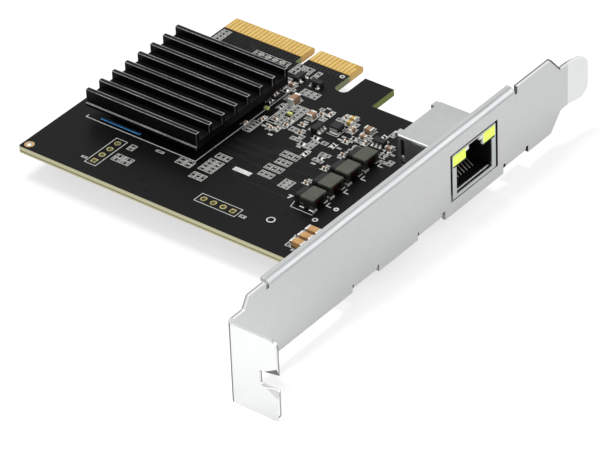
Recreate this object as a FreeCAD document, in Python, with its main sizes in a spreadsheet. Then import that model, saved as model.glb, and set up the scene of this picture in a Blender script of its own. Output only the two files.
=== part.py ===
import FreeCAD, Part
import math
import os

import Sketcher
from FreeCAD import Placement, Rotation, Vector

# A full-height network interface card with one copper socket.
# Frame, in millimetres: X runs from the key notch of the card edge towards the
# bracket, Y runs from the chassis side of the card towards the tips of the
# card edge, and Z is up from the component side. The origin is on the centre
# line of the key notch, at the tips, on the component side.

SHEET_ROWS = [
    # board
    ("board_thickness", 1.57, "laminate with its copper and mask"),
    ("board_left", 28.95, "key centre to the end of the board away from the bracket"),
    ("board_depth", 65.5, "tips to the long free edge"),
    ("shoulder_depth", 11.4, "tips to the edge beside the tongue"),
    ("board_gap", 0.75, "board edge to the inside of the bracket"),
    ("key_width", 1.9, "key notch in the tongue"),
    ("key_depth", 7.0, "key notch, from the tips"),
    ("long_side", 21.2, "tongue on the far side of the key"),
    ("short_side", 11.2, "tongue between the key and the bracket"),
    ("relief_width", 3.3, "slot between the tongue and the retention tab"),
    ("tab_width", 7.6, "retention tab beside the tongue"),
    ("tab_tip", 3.6, "tips to the end of the retention tab"),
    ("relief_corner", 1.3, "rounded bottom of that slot"),
    ("key_corner", 0.4, "rounded bottom of the key notch"),
    ("board_corner", 0.5, "rounded outer corners of the board"),
    ("bevel_length", 0.5, "lead-in on the tips, along the tongue"),
    ("bevel_depth", 0.25, "lead-in on the tips, into the board"),
    # card edge contacts
    ("contact_pitch", 1.0, "contact to contact"),
    ("contact_width", 0.7, "one contact"),
    ("contact_length", 4.1, "one contact"),
    ("contact_short", 2.9, "presence contact, which mates last"),
    ("contact_raise", 0.05, "gold and copper above the laminate"),
    ("key_to_contact", 1.5, "key centre to the centre of the first contact"),
    # bracket
    ("face_x", 56.4, "key centre to the outer face of the bracket"),
    ("sheet", 0.86, "bracket sheet"),
    ("bend_radius", 0.6, "inside radius of the bracket's bends"),
    ("tab_face_y", -101.22, "outer face of the screw tab"),
    ("plate_top", 14.22, "upper edge of the bracket plate"),
    ("plate_width", 18.42, "bracket plate, across"),
    ("neck_drop", 2.54, "upper edge to the upper side of the screw tab"),
    ("tab_drop", 3.17, "lower edge to the lower side of the screw tab"),
    ("tab_reach", 11.43, "screw tab, out of the outer face"),
    ("tab_corner", 1.7, "rounded corners of the screw tab"),
    ("neck_start", 6.6, "screw tab to the plate's full width"),
    ("neck_run", 1.6, "slope between the neck and the full width"),
    ("notch_centre_z", 1.75, "centre of the screw notch"),
    ("notch_width", 3.6, "screw notch, for a 6-32 or M3.5 screw"),
    ("notch_depth", 4.4, "screw notch, in from the tab's outer edge"),
    ("notch_mouth", 7.4, "coined lead-in at the tab's outer edge"),
    ("coin_depth", 0.7, "depth of the coined lead-in at the tab's outer edge"),
    ("tongue_width", 10.19, "bracket tongue"),
    ("tongue_low", -0.15, "lower side of the bracket tongue"),
    ("shoulder_y", 6.74, "start of the slope to the bracket tongue"),
    ("tongue_root_y", 10.4, "end of the slope to the bracket tongue"),
    ("tongue_bend_y", 12.95, "bend near the tip of the tongue"),
    ("tongue_tip", 5.95, "length past that bend"),
    ("tongue_angle", 10.0, "degrees that the tip leans outwards"),
    ("tongue_corner", 2.8, "rounded corners of the tongue"),
    ("flange_near_y", -88.5, "stiffening flange, end by the screw tab"),
    ("flange_far_y", -6.2, "stiffening flange, end by the tongue"),
    ("flange_reach", 2.1, "stiffening flange, in from the outer face"),
    ("relief_cut", 0.8, "width of the bend relief slots"),
    ("relief_rise", 1.75, "depth of the bend relief slots"),
    ("ear_relief", 0.4, "width of the slots beside an ear"),
    ("foot_near_y", -9.7, "folded foot on the lower edge, near end"),
    ("foot_far_y", -2.4, "folded foot on the lower edge, far end"),
    ("foot_reach", 3.2, "folded foot, in from the outer face"),
    ("lip_drop", 0.45, "deeper lower edge under the socket"),
    ("lip_near_y", -31.0, "deeper lower edge, near end"),
    ("lip_far_y", -10.5, "deeper lower edge, far end"),
    # ears that hold the board
    ("ear_near_y", -58.0, "centre of the first ear"),
    ("ear_far_y", -36.0, "centre of the second ear"),
    ("ear_width", 8.0, "each ear"),
    ("ear_rise_x", 2.6, "outer face to the ear's step up to the board"),
    ("ear_reach", 12.6, "outer face to the end of an ear"),
    ("ear_corner", 1.5, "rounded corners of an ear"),
    ("notch_corner", 0.6, "rounded corners at the bottom of the screw notch"),
    ("screw_x", 9.4, "outer face to the screws' axes"),
    ("screw_radius", 1.5, "M3 screw"),
    ("screw_clearance", 0.2, "hole in the board, round a screw"),
    ("screw_head_radius", 2.75, "pan head"),
    ("screw_head_height", 1.9, "pan head"),
    ("screw_length", 4.2, "under the head"),
    ("recess_width", 0.75, "arm of the cross recess"),
    ("recess_depth", 1.1, "cross recess"),
    # socket
    ("jack_centre_y", -20.7, "centre of the socket"),
    ("jack_width", 15.1, "outside of the shield"),
    ("jack_height", 10.8, "outside of the shield"),
    ("jack_sink", 1.25, "bottom of the socket below the component side"),
    ("jack_depth", 13.9, "front face to the back of the shield"),
    ("jack_gap", 0.7, "bracket opening to the shield, at the sides"),
    ("jack_gap_z", 0.4, "bracket opening to the shield, above and below"),
    ("notch_gap", 0.3, "board cut-out to the shield"),
    ("shield_sheet", 0.3, "shield sheet"),
    ("rim_side", 1.4, "front rim of the shield, at the sides"),
    ("rim_low", 0.8, "front rim of the shield, at the bottom"),
    ("wing_width", 1.4, "solder wing of the shield, on the board"),
    ("wing_reach", 1.3, "solder wing, out of the shield"),
    ("side_slot_width", 0.9, "slot in each side of the shield"),
    ("side_slot_height", 6.0, "slot in each side of the shield"),
    ("side_slot_back", 0.8, "slot to the back of the shield"),
    ("side_slot_low", 2.6, "lower end of the slot, above the component side"),
    ("rear_opening", 3.3, "shield's open strip over the tails, above its bottom"),
    ("hook_start", 0.4, "side of the shield to the hook at its back"),
    ("hook_width", 1.8, "each hook"),
    ("hook_reach", 0.9, "each hook, out of the back of the shield"),
    ("hook_drop", 0.9, "each hook, down from the top of the shield"),
    ("plug_height", 6.75, "plug cavity"),
    ("plug_depth", 11.0, "plug cavity"),
    ("latch_width", 5.9, "recess for the plug's latch, between the light guides"),
    ("latch_depth", 7.5, "recess for the plug's latch"),
    ("light_depth", 6.0, "light guide"),
    ("light_floor", 0.15, "plastic under a light guide"),
    ("light_lug", 1.1, "light guide's upper corner, towards the latch recess"),
    ("light_lug_height", 0.8, "light guide's upper corner"),
    ("light_roof", 0.15, "light guide to the shield's top"),
    ("wire_pitch", 1.02, "socket contacts"),
    ("wire_width", 0.4, "socket contacts"),
    ("wire_thick", 0.28, "socket contacts"),
    ("wire_floor", 0.2, "tip of a contact above the cavity's floor"),
    ("wire_front", 2.95, "front face to the tips of the contacts"),
    ("wire_gap", 0.05, "contact to the sides of its slot"),
    ("wire_count", 8, "socket contacts"),
    ("wire_rise", 1.85, "height that the contacts climb"),
    ("wire_run", 2.6, "length over which they climb"),
    ("tail_x", 1.5, "back of the shield to the tails' row"),
    ("tail_clearance", 0.15, "plated hole round a tail"),
    ("tail_below", 1.1, "tail below the solder side"),
    # processor and heatsink
    ("chip_size", 23.0, "controller package"),
    ("chip_height", 2.0, "controller package"),
    ("chip_cap", 1.1, "moulded cap of the package"),
    ("chip_step", 1.6, "substrate to cap, all round"),
    ("pad_thick", 0.4, "thermal pad"),
    ("pad_size", 19.0, "thermal pad"),
    ("sink_left", -24.55, "heatsink, end away from the bracket"),
    ("sink_near", -48.2, "heatsink, near side"),
    ("sink_length", 29.9, "heatsink, along the fins"),
    ("sink_base", 2.05, "heatsink base"),
    ("fin_height", 2.0, "fins above the base"),
    ("fin_thick", 1.1, "one fin"),
    ("fin_pitch", 4.27, "fin to fin"),
    ("fin_count", 8, "fins"),
    ("ledge_out", 0.3, "ledge along the near side"),
    ("ledge_height", 0.8, "ledge along the near side"),
    ("gap_pad_length", 10.8, "soft strip under the heatsink's near edge"),
    ("gap_pad_width", 0.8, "soft strip"),
    ("gap_pad_height", 0.3, "soft strip"),
    ("gap_pad_inset", 0.1, "near side of the heatsink to the strip"),
    # line chokes
    ("choke_x", 34.85, "centre line of the row of chokes"),
    ("choke_near_y", -46.95, "centre of the first choke"),
    ("choke_pitch", 5.87, "choke to choke"),
    ("choke_count", 4, "chokes"),
    ("choke_length", 4.6, "along the row"),
    ("choke_width", 3.4, "across the row"),
    ("choke_height", 2.6, "over the top plate"),
    ("choke_plate", 0.55, "top plate"),
    ("choke_flange", 1.05, "each end of the ferrite drum"),
    ("choke_bar", 1.3, "winding bar, across"),
    ("choke_bar_height", 0.85, "winding bar, its height"),
    ("coil_build", 0.5, "depth of the winding"),
    ("coil_corner", 0.45, "rounded corners of the winding"),
    ("terminal_thick", 0.1, "plated terminal under a drum end"),
    ("terminal_width", 1.0, "plated terminal"),
    # header footprints
    ("header_pitch", 2.54, "hole to hole"),
    ("header_hole", 0.5, "hole radius"),
    ("header_pad", 0.85, "half of a header pad"),
    ("header_count", 4, "holes in a row"),
    ("header_a_x", -12.25, "row across the card, its X"),
    ("header_a_y", -60.6, "row across the card, its first hole"),
    ("header_b_x", 15.3, "row along the card, its first hole"),
    ("header_b_y", -58.5, "row along the card, its Y"),
    ("pad_raise", 0.05, "plated pads above the laminate"),
    # large ceramic capacitors by the bracket
    ("big_x", 41.4, "row of large capacitors"),
    ("big_y", -60.6, "first large capacitor"),
    ("big_pitch", 2.55, "capacitor to capacitor"),
    ("big_length", 3.2, "each, across the row"),
    ("big_width", 1.7, "each, along the row"),
    ("big_height", 1.35, "each"),
    ("big_cap", 0.55, "metal end"),
    # square inductor
    ("coil_x", 22.55, "centre"),
    ("coil_y", -22.8, "centre"),
    ("coil_side", 2.3, "body"),
    ("coil_height", 1.5, "body"),
    ("coil_foot", 0.15, "terminals under the body"),
    ("coil_foot_out", 0.25, "terminals, beyond the body"),
    ("coil_foot_width", 1.9, "terminals"),
    ("coil_foot_rise", 0.95, "terminals, up the side of the body"),
    # small packages with bent leads
    ("lead_pitch", 0.95, "lead to lead"),
    ("lead_width", 0.45, "leads"),
    ("lead_thick", 0.15, "leads"),
    ("lead_foot", 0.5, "foot of a lead on the board"),
    ("lead_out", 0.7, "foot's end, beyond the body"),
    ("case_lift", 0.1, "body above the board"),
    ("case_height", 1.0, "body"),
]

doc = FreeCAD.newDocument("network_card")
sheet = doc.addObject("Spreadsheet::Sheet", "dims")
for row, (alias, value, note) in enumerate(SHEET_ROWS, start=1):
    sheet.set("A" + str(row), alias)
    sheet.set("B" + str(row), str(value))
    sheet.set("C" + str(row), note)
    sheet.setAlias("B" + str(row), alias)
doc.recompute()


# --- sizes that remember their formula ---------------------------------------

class Size:
    """A number together with the sheet formula that gives it."""

    def __init__(self, value, formula):
        self.value = float(value)
        self.formula = formula

    def __add__(self, other):
        return Size(self.value + number(other), join(self, "+", other))

    def __radd__(self, other):
        return Size(other + self.value, join(other, "+", self))

    def __sub__(self, other):
        return Size(self.value - number(other), join(self, "-", other))

    def __rsub__(self, other):
        return Size(other - self.value, join(other, "-", self))

    def __mul__(self, other):
        return Size(self.value * number(other), join(self, "*", other))

    def __rmul__(self, other):
        return Size(other * self.value, join(other, "*", self))

    def __truediv__(self, other):
        return Size(self.value / number(other), join(self, "/", other))

    def __neg__(self):
        return Size(-self.value, "(0 - " + self.formula + ")")


def number(size):
    return size.value if isinstance(size, Size) else float(size)


def formula(size):
    return size.formula if isinstance(size, Size) else repr(float(size))


def join(left, sign, right):
    return "(" + formula(left) + " " + sign + " " + formula(right) + ")"


def sine(angle):
    return Size(math.sin(math.radians(angle.value)), "sin(" + angle.formula + ")")


def cosine(angle):
    return Size(math.cos(math.radians(angle.value)), "cos(" + angle.formula + ")")


class Dims:
    """Every alias of the sheet as an attribute, such as d.sheet."""

    def __init__(self, rows):
        for alias, value, _note in rows:
            setattr(self, alias, Size(value, "dims." + alias))


d = Dims(SHEET_ROWS)


# --- helpers ---------------------------------------------------------------

def bind(item, prop, size):
    """Ties one property of an object to the sheet."""
    item.setExpression(prop, formula(size))


def place(item, x, y, z):
    item.Placement = Placement(Vector(number(x), number(y), number(z)), Rotation())
    bind(item, "Placement.Base.x", x)
    bind(item, "Placement.Base.y", y)
    bind(item, "Placement.Base.z", z)


def new_body(name):
    body = doc.addObject("PartDesign::Body", name)
    body.Label = name
    body.AllowCompound = True
    return body


def new_sketch(body, name, plane, offset):
    """A sketch on one of the body's own planes, moved along its normal.

    The planes' own axes are XY: x, y, up +Z. XZ: x, z, normal -Y. YZ: y, z, normal +X.
    """
    sketch = body.newObject("Sketcher::SketchObject", name)
    support = [item for item in body.Origin.OriginFeatures if item.Role == plane][0]
    sketch.AttachmentSupport = [(support, "")]
    sketch.MapMode = "FlatFace"
    sketch.AttachmentOffset = Placement(Vector(0, 0, number(offset)), Rotation())
    bind(sketch, "AttachmentOffset.Base.z", offset)
    return sketch


def pin_point(sketch, line, end, across, up):
    """Holds a point of the sketch at a place that the sheet gives."""
    for kind, size in (("DistanceX", across), ("DistanceY", up)):
        held = sketch.addConstraint(Sketcher.Constraint(kind, -1, 1, line, end, number(size)))
        bind(sketch, "Constraints[" + str(held) + "]", size)


def draw_outline(sketch, corners):
    """A closed outline of straight lines through the corners."""
    spots = [Vector(number(x), number(y), 0) for x, y in corners]
    first = sketch.GeometryCount
    count = len(spots)
    for index in range(count):
        following = spots[(index + 1) % count]
        sketch.addGeometry(Part.LineSegment(spots[index], following), False)
    for index in range(count):
        after = first + (index + 1) % count
        sketch.addConstraint(Sketcher.Constraint("Coincident", first + index, 2, after, 1))
        pin_point(sketch, first + index, 1, *corners[index])


def draw_rectangle(sketch, low, high):
    draw_outline(sketch, [low, (high[0], low[1]), high, (low[0], high[1])])


def draw_circle(sketch, x, y, radius):
    centre = Vector(number(x), number(y), 0)
    line = sketch.addGeometry(Part.Circle(centre, Vector(0, 0, 1), number(radius)), False)
    pin_point(sketch, line, 3, x, y)
    held = sketch.addConstraint(Sketcher.Constraint("Radius", line, number(radius)))
    bind(sketch, "Constraints[" + str(held) + "]", radius)


def pad(body, sketch, length, backwards=False):
    feature = body.newObject("PartDesign::Pad", sketch.Name + "_pad")
    feature.Profile = sketch
    feature.Reversed = backwards
    bind(feature, "Length", length)
    doc.recompute()
    return feature


def pocket(body, sketch, length, backwards=False):
    """A cut, which has to take some of the body away."""
    before = body.Shape.Volume
    feature = body.newObject("PartDesign::Pocket", sketch.Name + "_cut")
    feature.Profile = sketch
    feature.Reversed = backwards
    bind(feature, "Length", length)
    doc.recompute()
    if not body.Shape.Volume < before:
        raise RuntimeError(feature.Name + " cuts nothing")
    return feature


def edges_along(shape, axis, spots, reach=0.01):
    """Names of the straight edges along an axis that pass through the spots.

    Each spot is an (x, y, z) with None for the axis itself, where the edge may
    be at any height, or with a number there that the edge has to span.
    """
    names = []
    for index, edge in enumerate(shape.Edges, start=1):
        if len(edge.Vertexes) != 2 or not isinstance(edge.Curve, Part.Line):
            continue
        start = edge.Vertexes[0].Point
        end = edge.Vertexes[1].Point
        along = (end - start).normalize()
        if abs(abs(along[axis]) - 1) > 1e-6:
            continue
        for spot in spots:
            beside = [
                abs(start[k] - number(spot[k])) for k in range(3) if k != axis
            ]
            low, high = sorted((start[axis], end[axis]))
            inside = spot[axis] is None or low < number(spot[axis]) < high
            if max(beside) < reach and inside:
                names.append("Edge" + str(index))
                break
    return names


def round_edges(body, axis, spots, radius, kind="PartDesign::Fillet"):
    """Rounds, or chamfers, the edges found by edges_along."""
    base = body.Tip
    names = edges_along(base.Shape, axis, spots)
    if len(names) < len(spots):
        raise RuntimeError(body.Name + ": an edge to round is missing")
    feature = body.newObject(kind, body.Name + "_edges")
    feature.Base = (base, names)
    bind(feature, "Radius" if kind.endswith("Fillet") else "Size", radius)
    doc.recompute()
    return feature


def repeat(body, feature, plane_axis, spacing, count):
    """Repeats a feature along one of the body's origin axes."""
    pattern = body.newObject("PartDesign::LinearPattern", feature.Name + "_row")
    pattern.Originals = [feature]
    axis = [item for item in body.Origin.OriginFeatures if item.Role == plane_axis][0]
    pattern.Direction = (axis, [""])
    pattern.Mode = "Spacing"
    bind(pattern, "Offset", spacing)
    bind(pattern, "Occurrences", count)
    body.Tip = pattern
    doc.recompute()
    return pattern


def new_box(name, low, high):
    box = doc.addObject("Part::Box", name)
    bind(box, "Length", high[0] - low[0])
    bind(box, "Width", high[1] - low[1])
    bind(box, "Height", high[2] - low[2])
    place(box, *low)
    return box


def new_group(name, members):
    """Several separate solids that share one node."""
    group = doc.addObject("Part::Compound", name)
    group.Label = name
    group.Links = members
    return group


# --- values that several pieces share -----------------------------------------

tongue_left = -(d.long_side + d.key_width / 2)
tongue_right = d.short_side + d.key_width / 2
board_right = d.face_x - d.sheet - d.board_gap
inner_x = d.face_x - d.sheet
plate_low = d.plate_top - d.plate_width
solder_side = -d.board_thickness
tab_inner_y = d.tab_face_y + d.sheet
ear_spots = (d.ear_near_y, d.ear_far_y)
screw_axis_x = d.face_x - d.screw_x

jack_near = d.jack_centre_y - d.jack_width / 2
jack_far = d.jack_centre_y + d.jack_width / 2
jack_low = -d.jack_sink
jack_top = d.jack_height - d.jack_sink
jack_back = d.face_x - d.jack_depth
tail_row_x = jack_back - d.tail_x
plug_near = jack_near + d.rim_side
plug_far = jack_far - d.rim_side
plug_low = jack_low + d.rim_low
plug_top = plug_low + d.plug_height
wire_first_y = d.jack_centre_y - (d.wire_count - 1) / 2 * d.wire_pitch
wire_low = plug_low + d.wire_floor
tail_hole = d.wire_width / 2 + d.tail_clearance
housing_front = d.face_x - d.shield_sheet
housing_back = jack_back + d.shield_sheet
housing_near = jack_near + d.shield_sheet
housing_far = jack_far - d.shield_sheet
housing_low = jack_low + d.shield_sheet
housing_top = jack_top - d.shield_sheet
latch_near = d.jack_centre_y - d.latch_width / 2
latch_far = d.jack_centre_y + d.latch_width / 2
light_low = plug_top + d.light_floor

sink_right = d.sink_left + d.sink_length
sink_span = d.fin_pitch * (d.fin_count - 1) + d.fin_thick
sink_centre_x = d.sink_left + d.sink_length / 2
sink_centre_y = d.sink_near + sink_span / 2
sink_low = d.chip_height + d.pad_thick


def header_holes():
    """Centres of both header rows, the first hole of each row first."""
    rows = []
    for index in range(int(d.header_count.value)):
        rows.append((d.header_a_x, d.header_a_y + index * d.header_pitch))
    for index in range(int(d.header_count.value)):
        rows.append((d.header_b_x + index * d.header_pitch, d.header_b_y))
    return rows


# --- circuit board ---------------------------------------------------------------

def make_board():
    """Laminate with its card edge, retention tab and the corner left open for the socket."""
    body = new_body("circuit_board")
    outline = new_sketch(body, "board_outline", "XY_Plane", solder_side)
    key = d.key_width / 2
    relief_far = tongue_right + d.relief_width
    tab_end = relief_far + d.tab_width
    socket_near = jack_near - d.notch_gap
    socket_back = jack_back - d.notch_gap
    draw_outline(outline, [
        (-d.board_left, -d.board_depth),
        (board_right, -d.board_depth),
        (board_right, socket_near),
        (socket_back, socket_near),
        (socket_back, -d.shoulder_depth),
        (tab_end, -d.shoulder_depth),
        (tab_end, -d.tab_tip),
        (relief_far, -d.tab_tip),
        (relief_far, -d.shoulder_depth + d.relief_corner / 2),
        (tongue_right, -d.shoulder_depth + d.relief_corner / 2),
        (tongue_right, 0),
        (key, 0),
        (key, -d.key_depth),
        (-key, -d.key_depth),
        (-key, 0),
        (tongue_left, 0),
        (tongue_left, -d.shoulder_depth),
        (-d.board_left, -d.shoulder_depth),
    ])
    pad(body, outline, d.board_thickness)

    bevel = new_sketch(body, "tip_bevel", "YZ_Plane", tongue_left)
    draw_outline(bevel, [(-d.bevel_length, 0), (0, -d.bevel_depth), (0, 0)])
    draw_outline(bevel, [
        (-d.bevel_length, solder_side),
        (0, solder_side),
        (0, solder_side + d.bevel_depth),
    ])
    pocket(body, bevel, tongue_right - tongue_left, backwards=True)

    holes = new_sketch(body, "board_holes", "XY_Plane", 0)
    for x, y in header_holes():
        draw_circle(holes, x, y, d.header_hole)
    for y in ear_spots:
        draw_circle(holes, screw_axis_x, y, d.screw_radius + d.screw_clearance)
    for index in range(int(d.wire_count.value)):
        draw_circle(holes, tail_row_x, wire_first_y + index * d.wire_pitch, tail_hole)
    pocket(body, holes, d.board_thickness)

    relief_y = -d.shoulder_depth + d.relief_corner / 2
    round_edges(body, 2, [
        (relief_far, relief_y, None),
        (tongue_right, relief_y, None),
    ], d.relief_corner)
    round_edges(body, 2, [(key, -d.key_depth, None), (-key, -d.key_depth, None)], d.key_corner)
    round_edges(body, 2, [
        (-d.board_left, -d.board_depth, None),
        (board_right, -d.board_depth, None),
        (-d.board_left, -d.shoulder_depth, None),
    ], d.board_corner)


def make_edge_contacts():
    """Gold contacts on both sides of the tongue. The presence contacts are short."""
    short_count = 11
    long_count = 21
    places = [d.key_to_contact + index * d.contact_pitch for index in range(short_count)]
    places += [-d.key_to_contact - index * d.contact_pitch for index in range(long_count)]
    sides = {"edge_contacts_front": Size(0, "0"), "edge_contacts_back": solder_side - d.contact_raise}
    presence = {"edge_contacts_front": short_count - 1, "edge_contacts_back": len(places) - 1}
    root_y = -d.bevel_length - d.contact_length
    for name, low_z in sides.items():
        contacts = []
        for index, x in enumerate(places):
            length = d.contact_short if index == presence[name] else d.contact_length
            low = (x - d.contact_width / 2, root_y, low_z)
            high = (x + d.contact_width / 2, root_y + length, low_z + d.contact_raise)
            contacts.append(new_box(name + "_" + str(index + 1), low, high))
        new_group(name, contacts)


def make_plated_pads():
    """Plated pads of the two header rows. The first pin of each row is square."""
    thick = d.pad_raise.value
    pads = []
    for index, (x, y) in enumerate(header_holes()):
        centre = Vector(x.value, y.value, 0)
        half = d.header_pad.value
        if index % int(d.header_count.value) == 0:
            outer = Part.makeBox(2 * half, 2 * half, thick, centre - Vector(half, half, 0))
        else:
            outer = Part.makeCylinder(half, thick, centre)
        pads.append(outer.cut(Part.makeCylinder(d.header_hole.value, thick, centre)))
    rings = doc.addObject("Part::Feature", "plated_pads")
    rings.Label = "plated_pads"
    rings.Shape = Part.makeCompound(pads)


# --- bracket -----------------------------------------------------------------------

def add_ear(body, name, centre_y):
    """One ear, folded in under the board and stepped up to its solder side."""
    rise_x = d.face_x - d.ear_rise_x
    end_x = d.face_x - d.ear_reach
    profile = new_sketch(body, name, "XZ_Plane", -(centre_y + d.ear_width / 2))
    draw_outline(profile, [
        (inner_x, plate_low),
        (rise_x - d.sheet, plate_low),
        (rise_x - d.sheet, solder_side - d.sheet),
        (end_x, solder_side - d.sheet),
        (end_x, solder_side),
        (rise_x, solder_side),
        (rise_x, plate_low + d.sheet),
        (inner_x, plate_low + d.sheet),
    ])
    pad(body, profile, d.ear_width)


def add_lead_in(body, name, start_x, end_x, side):
    """A coined slope along one side of the screw notch, deepest at the outer edge."""
    brink = d.notch_centre_z + side * d.notch_width / 2
    sections = []
    for place_x, share in ((start_x, 0.02), (end_x, 1)):
        spread = side * (d.notch_mouth - d.notch_width) / 2 * share
        section = new_sketch(body, name + "_" + str(len(sections) + 1), "YZ_Plane", place_x)
        draw_outline(section, [
            (d.tab_face_y, brink),
            (d.tab_face_y, brink + spread),
            (d.tab_face_y + d.coin_depth * share, brink),
        ])
        sections.append(section)
    before = body.Shape.Volume
    slope = body.newObject("PartDesign::SubtractiveLoft", name)
    slope.Profile = sections[0]
    slope.Sections = [sections[1]]
    slope.Ruled = True
    doc.recompute()
    if not body.Shape.Volume < before:
        raise RuntimeError(name + " cuts nothing")


def make_bracket():
    """Folded steel bracket: plate, screw tab, tongue, flange, foot and two ears."""
    body = new_body("bracket")
    neck_top = d.plate_top - d.neck_drop
    tab_low = plate_low - d.tab_drop
    full_y = d.tab_face_y + d.neck_start
    neck_y = full_y - d.neck_run
    tongue_top = d.tongue_low + d.tongue_width
    lip_z = plate_low - d.lip_drop
    plate = new_sketch(body, "plate", "YZ_Plane", inner_x)
    draw_outline(plate, [
        (d.tab_face_y, tab_low),
        (neck_y, tab_low),
        (full_y, plate_low),
        (d.lip_near_y, plate_low),
        (d.lip_near_y, lip_z),
        (d.lip_far_y, lip_z),
        (d.lip_far_y, plate_low),
        (d.shoulder_y, plate_low),
        (d.tongue_root_y, d.tongue_low),
        (d.tongue_bend_y, d.tongue_low),
        (d.tongue_bend_y, tongue_top),
        (d.tongue_root_y, tongue_top),
        (d.shoulder_y, d.plate_top),
        (full_y, d.plate_top),
        (neck_y, neck_top),
        (d.tab_face_y, neck_top),
    ])
    pad(body, plate, d.sheet)

    screw_tab = new_sketch(body, "screw_tab", "XZ_Plane", -tab_inner_y)
    draw_rectangle(screw_tab, (d.face_x, tab_low), (d.face_x + d.tab_reach, neck_top))
    pad(body, screw_tab, d.sheet)

    flange = new_sketch(body, "flange", "XY_Plane", d.plate_top - d.sheet)
    flange_in = d.face_x - d.flange_reach
    draw_rectangle(flange, (flange_in, d.flange_near_y), (inner_x, d.flange_far_y))
    pad(body, flange, d.sheet)

    foot = new_sketch(body, "foot", "XY_Plane", plate_low)
    foot_in = d.face_x - d.foot_reach
    draw_rectangle(foot, (foot_in, d.foot_near_y), (inner_x, d.foot_far_y))
    pad(body, foot, d.sheet)

    for index, centre_y in enumerate(ear_spots, start=1):
        add_ear(body, "ear_" + str(index), centre_y)

    lean_x = d.tongue_tip * sine(d.tongue_angle)
    lean_y = d.tongue_tip * cosine(d.tongue_angle)
    tip_y = d.tongue_bend_y + lean_y
    tip = new_sketch(body, "tongue_end", "XY_Plane", d.tongue_low)
    draw_outline(tip, [
        (inner_x, d.tongue_bend_y),
        (d.face_x, d.tongue_bend_y),
        (d.face_x + lean_x, tip_y),
        (inner_x + lean_x, tip_y),
    ])
    pad(body, tip, d.tongue_width)

    opening = new_sketch(body, "socket_opening", "YZ_Plane", d.face_x)
    draw_rectangle(
        opening,
        (jack_near - d.jack_gap, jack_low - d.jack_gap_z),
        (jack_far + d.jack_gap, jack_top + d.jack_gap_z),
    )
    pocket(body, opening, d.sheet)

    slots = new_sketch(body, "bend_reliefs", "YZ_Plane", d.face_x)
    slot_low = d.plate_top - d.relief_rise
    for start in (d.flange_near_y - d.relief_cut, d.flange_far_y):
        draw_rectangle(slots, (start, slot_low), (start + d.relief_cut, d.plate_top + 1))
    slot_top = plate_low + d.relief_rise
    for start in (d.lip_near_y - d.relief_cut, d.foot_near_y - d.relief_cut, d.foot_far_y):
        draw_rectangle(slots, (start, lip_z - 1), (start + d.relief_cut, slot_top))
    for centre_y in ear_spots:
        for start in (centre_y - d.ear_width / 2 - d.ear_relief, centre_y + d.ear_width / 2):
            draw_rectangle(slots, (start, lip_z - 1), (start + d.ear_relief, slot_top))
    pocket(body, slots, d.sheet)

    notch_x = d.face_x + d.tab_reach - d.notch_depth
    outside_x = d.face_x + d.tab_reach + 1
    notch = new_sketch(body, "screw_notch", "XZ_Plane", -d.tab_face_y)
    half = d.notch_width / 2
    draw_rectangle(
        notch, (notch_x, d.notch_centre_z - half), (outside_x, d.notch_centre_z + half)
    )
    pocket(body, notch, d.sheet)

    coin_x = notch_x + 2 * d.notch_corner
    edge_x = d.face_x + d.tab_reach
    for name, side in (("upper", 1), ("lower", -1)):
        add_lead_in(body, name + "_lead_in", coin_x, edge_x, side)

    threads = new_sketch(body, "ear_threads", "XY_Plane", solder_side)
    for centre_y in ear_spots:
        draw_circle(threads, screw_axis_x, centre_y, d.screw_radius)
    pocket(body, threads, d.sheet)

    # bends: the outside radius is the inside radius and the sheet
    flange_y = (d.flange_near_y + d.flange_far_y) / 2
    foot_y = (d.foot_near_y + d.foot_far_y) / 2
    outer = d.bend_radius + d.sheet
    tab_z = neck_top - d.tab_corner
    round_edges(body, 2, [(inner_x, d.tab_face_y, tab_z)], outer)
    round_edges(body, 2, [(d.face_x, tab_inner_y, tab_z)], d.bend_radius)
    round_edges(body, 1, [
        (d.face_x, flange_y, d.plate_top),
        (d.face_x, foot_y, plate_low),
        (d.face_x, d.ear_near_y, plate_low),
        (d.face_x, d.ear_far_y, plate_low),
    ], outer)
    round_edges(body, 1, [
        (inner_x, flange_y, d.plate_top - d.sheet),
        (inner_x, foot_y, plate_low + d.sheet),
        (inner_x, d.ear_near_y, plate_low + d.sheet),
        (inner_x, d.ear_far_y, plate_low + d.sheet),
    ], d.bend_radius)

    # the ears step up to the board with tighter bends than the rest
    step_radius = d.bend_radius * 0.6
    rise_x = d.face_x - d.ear_rise_x
    outer_steps = []
    inner_steps = []
    for centre_y in ear_spots:
        outer_steps += [(rise_x - d.sheet, centre_y, plate_low), (rise_x, centre_y, solder_side)]
        inner_steps += [
            (rise_x, centre_y, plate_low + d.sheet),
            (rise_x - d.sheet, centre_y, solder_side - d.sheet),
        ]
    round_edges(body, 1, outer_steps, step_radius + d.sheet)
    round_edges(body, 1, inner_steps, step_radius)

    # corners
    round_edges(body, 1, [
        (d.face_x + d.tab_reach, None, neck_top),
        (d.face_x + d.tab_reach, None, tab_low),
    ], d.tab_corner)
    round_edges(body, 1, [
        (notch_x, None, d.notch_centre_z - half),
        (notch_x, None, d.notch_centre_z + half),
    ], d.notch_corner)
    round_edges(body, 0, [
        (None, tip_y, d.tongue_low),
        (None, tip_y, tongue_top),
    ], d.tongue_corner)
    end_x = d.face_x - d.ear_reach
    ear_corners = []
    for centre_y in ear_spots:
        ear_corners += [
            (end_x, centre_y - d.ear_width / 2, None),
            (end_x, centre_y + d.ear_width / 2, None),
        ]
    round_edges(body, 2, ear_corners, d.ear_corner)


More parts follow.
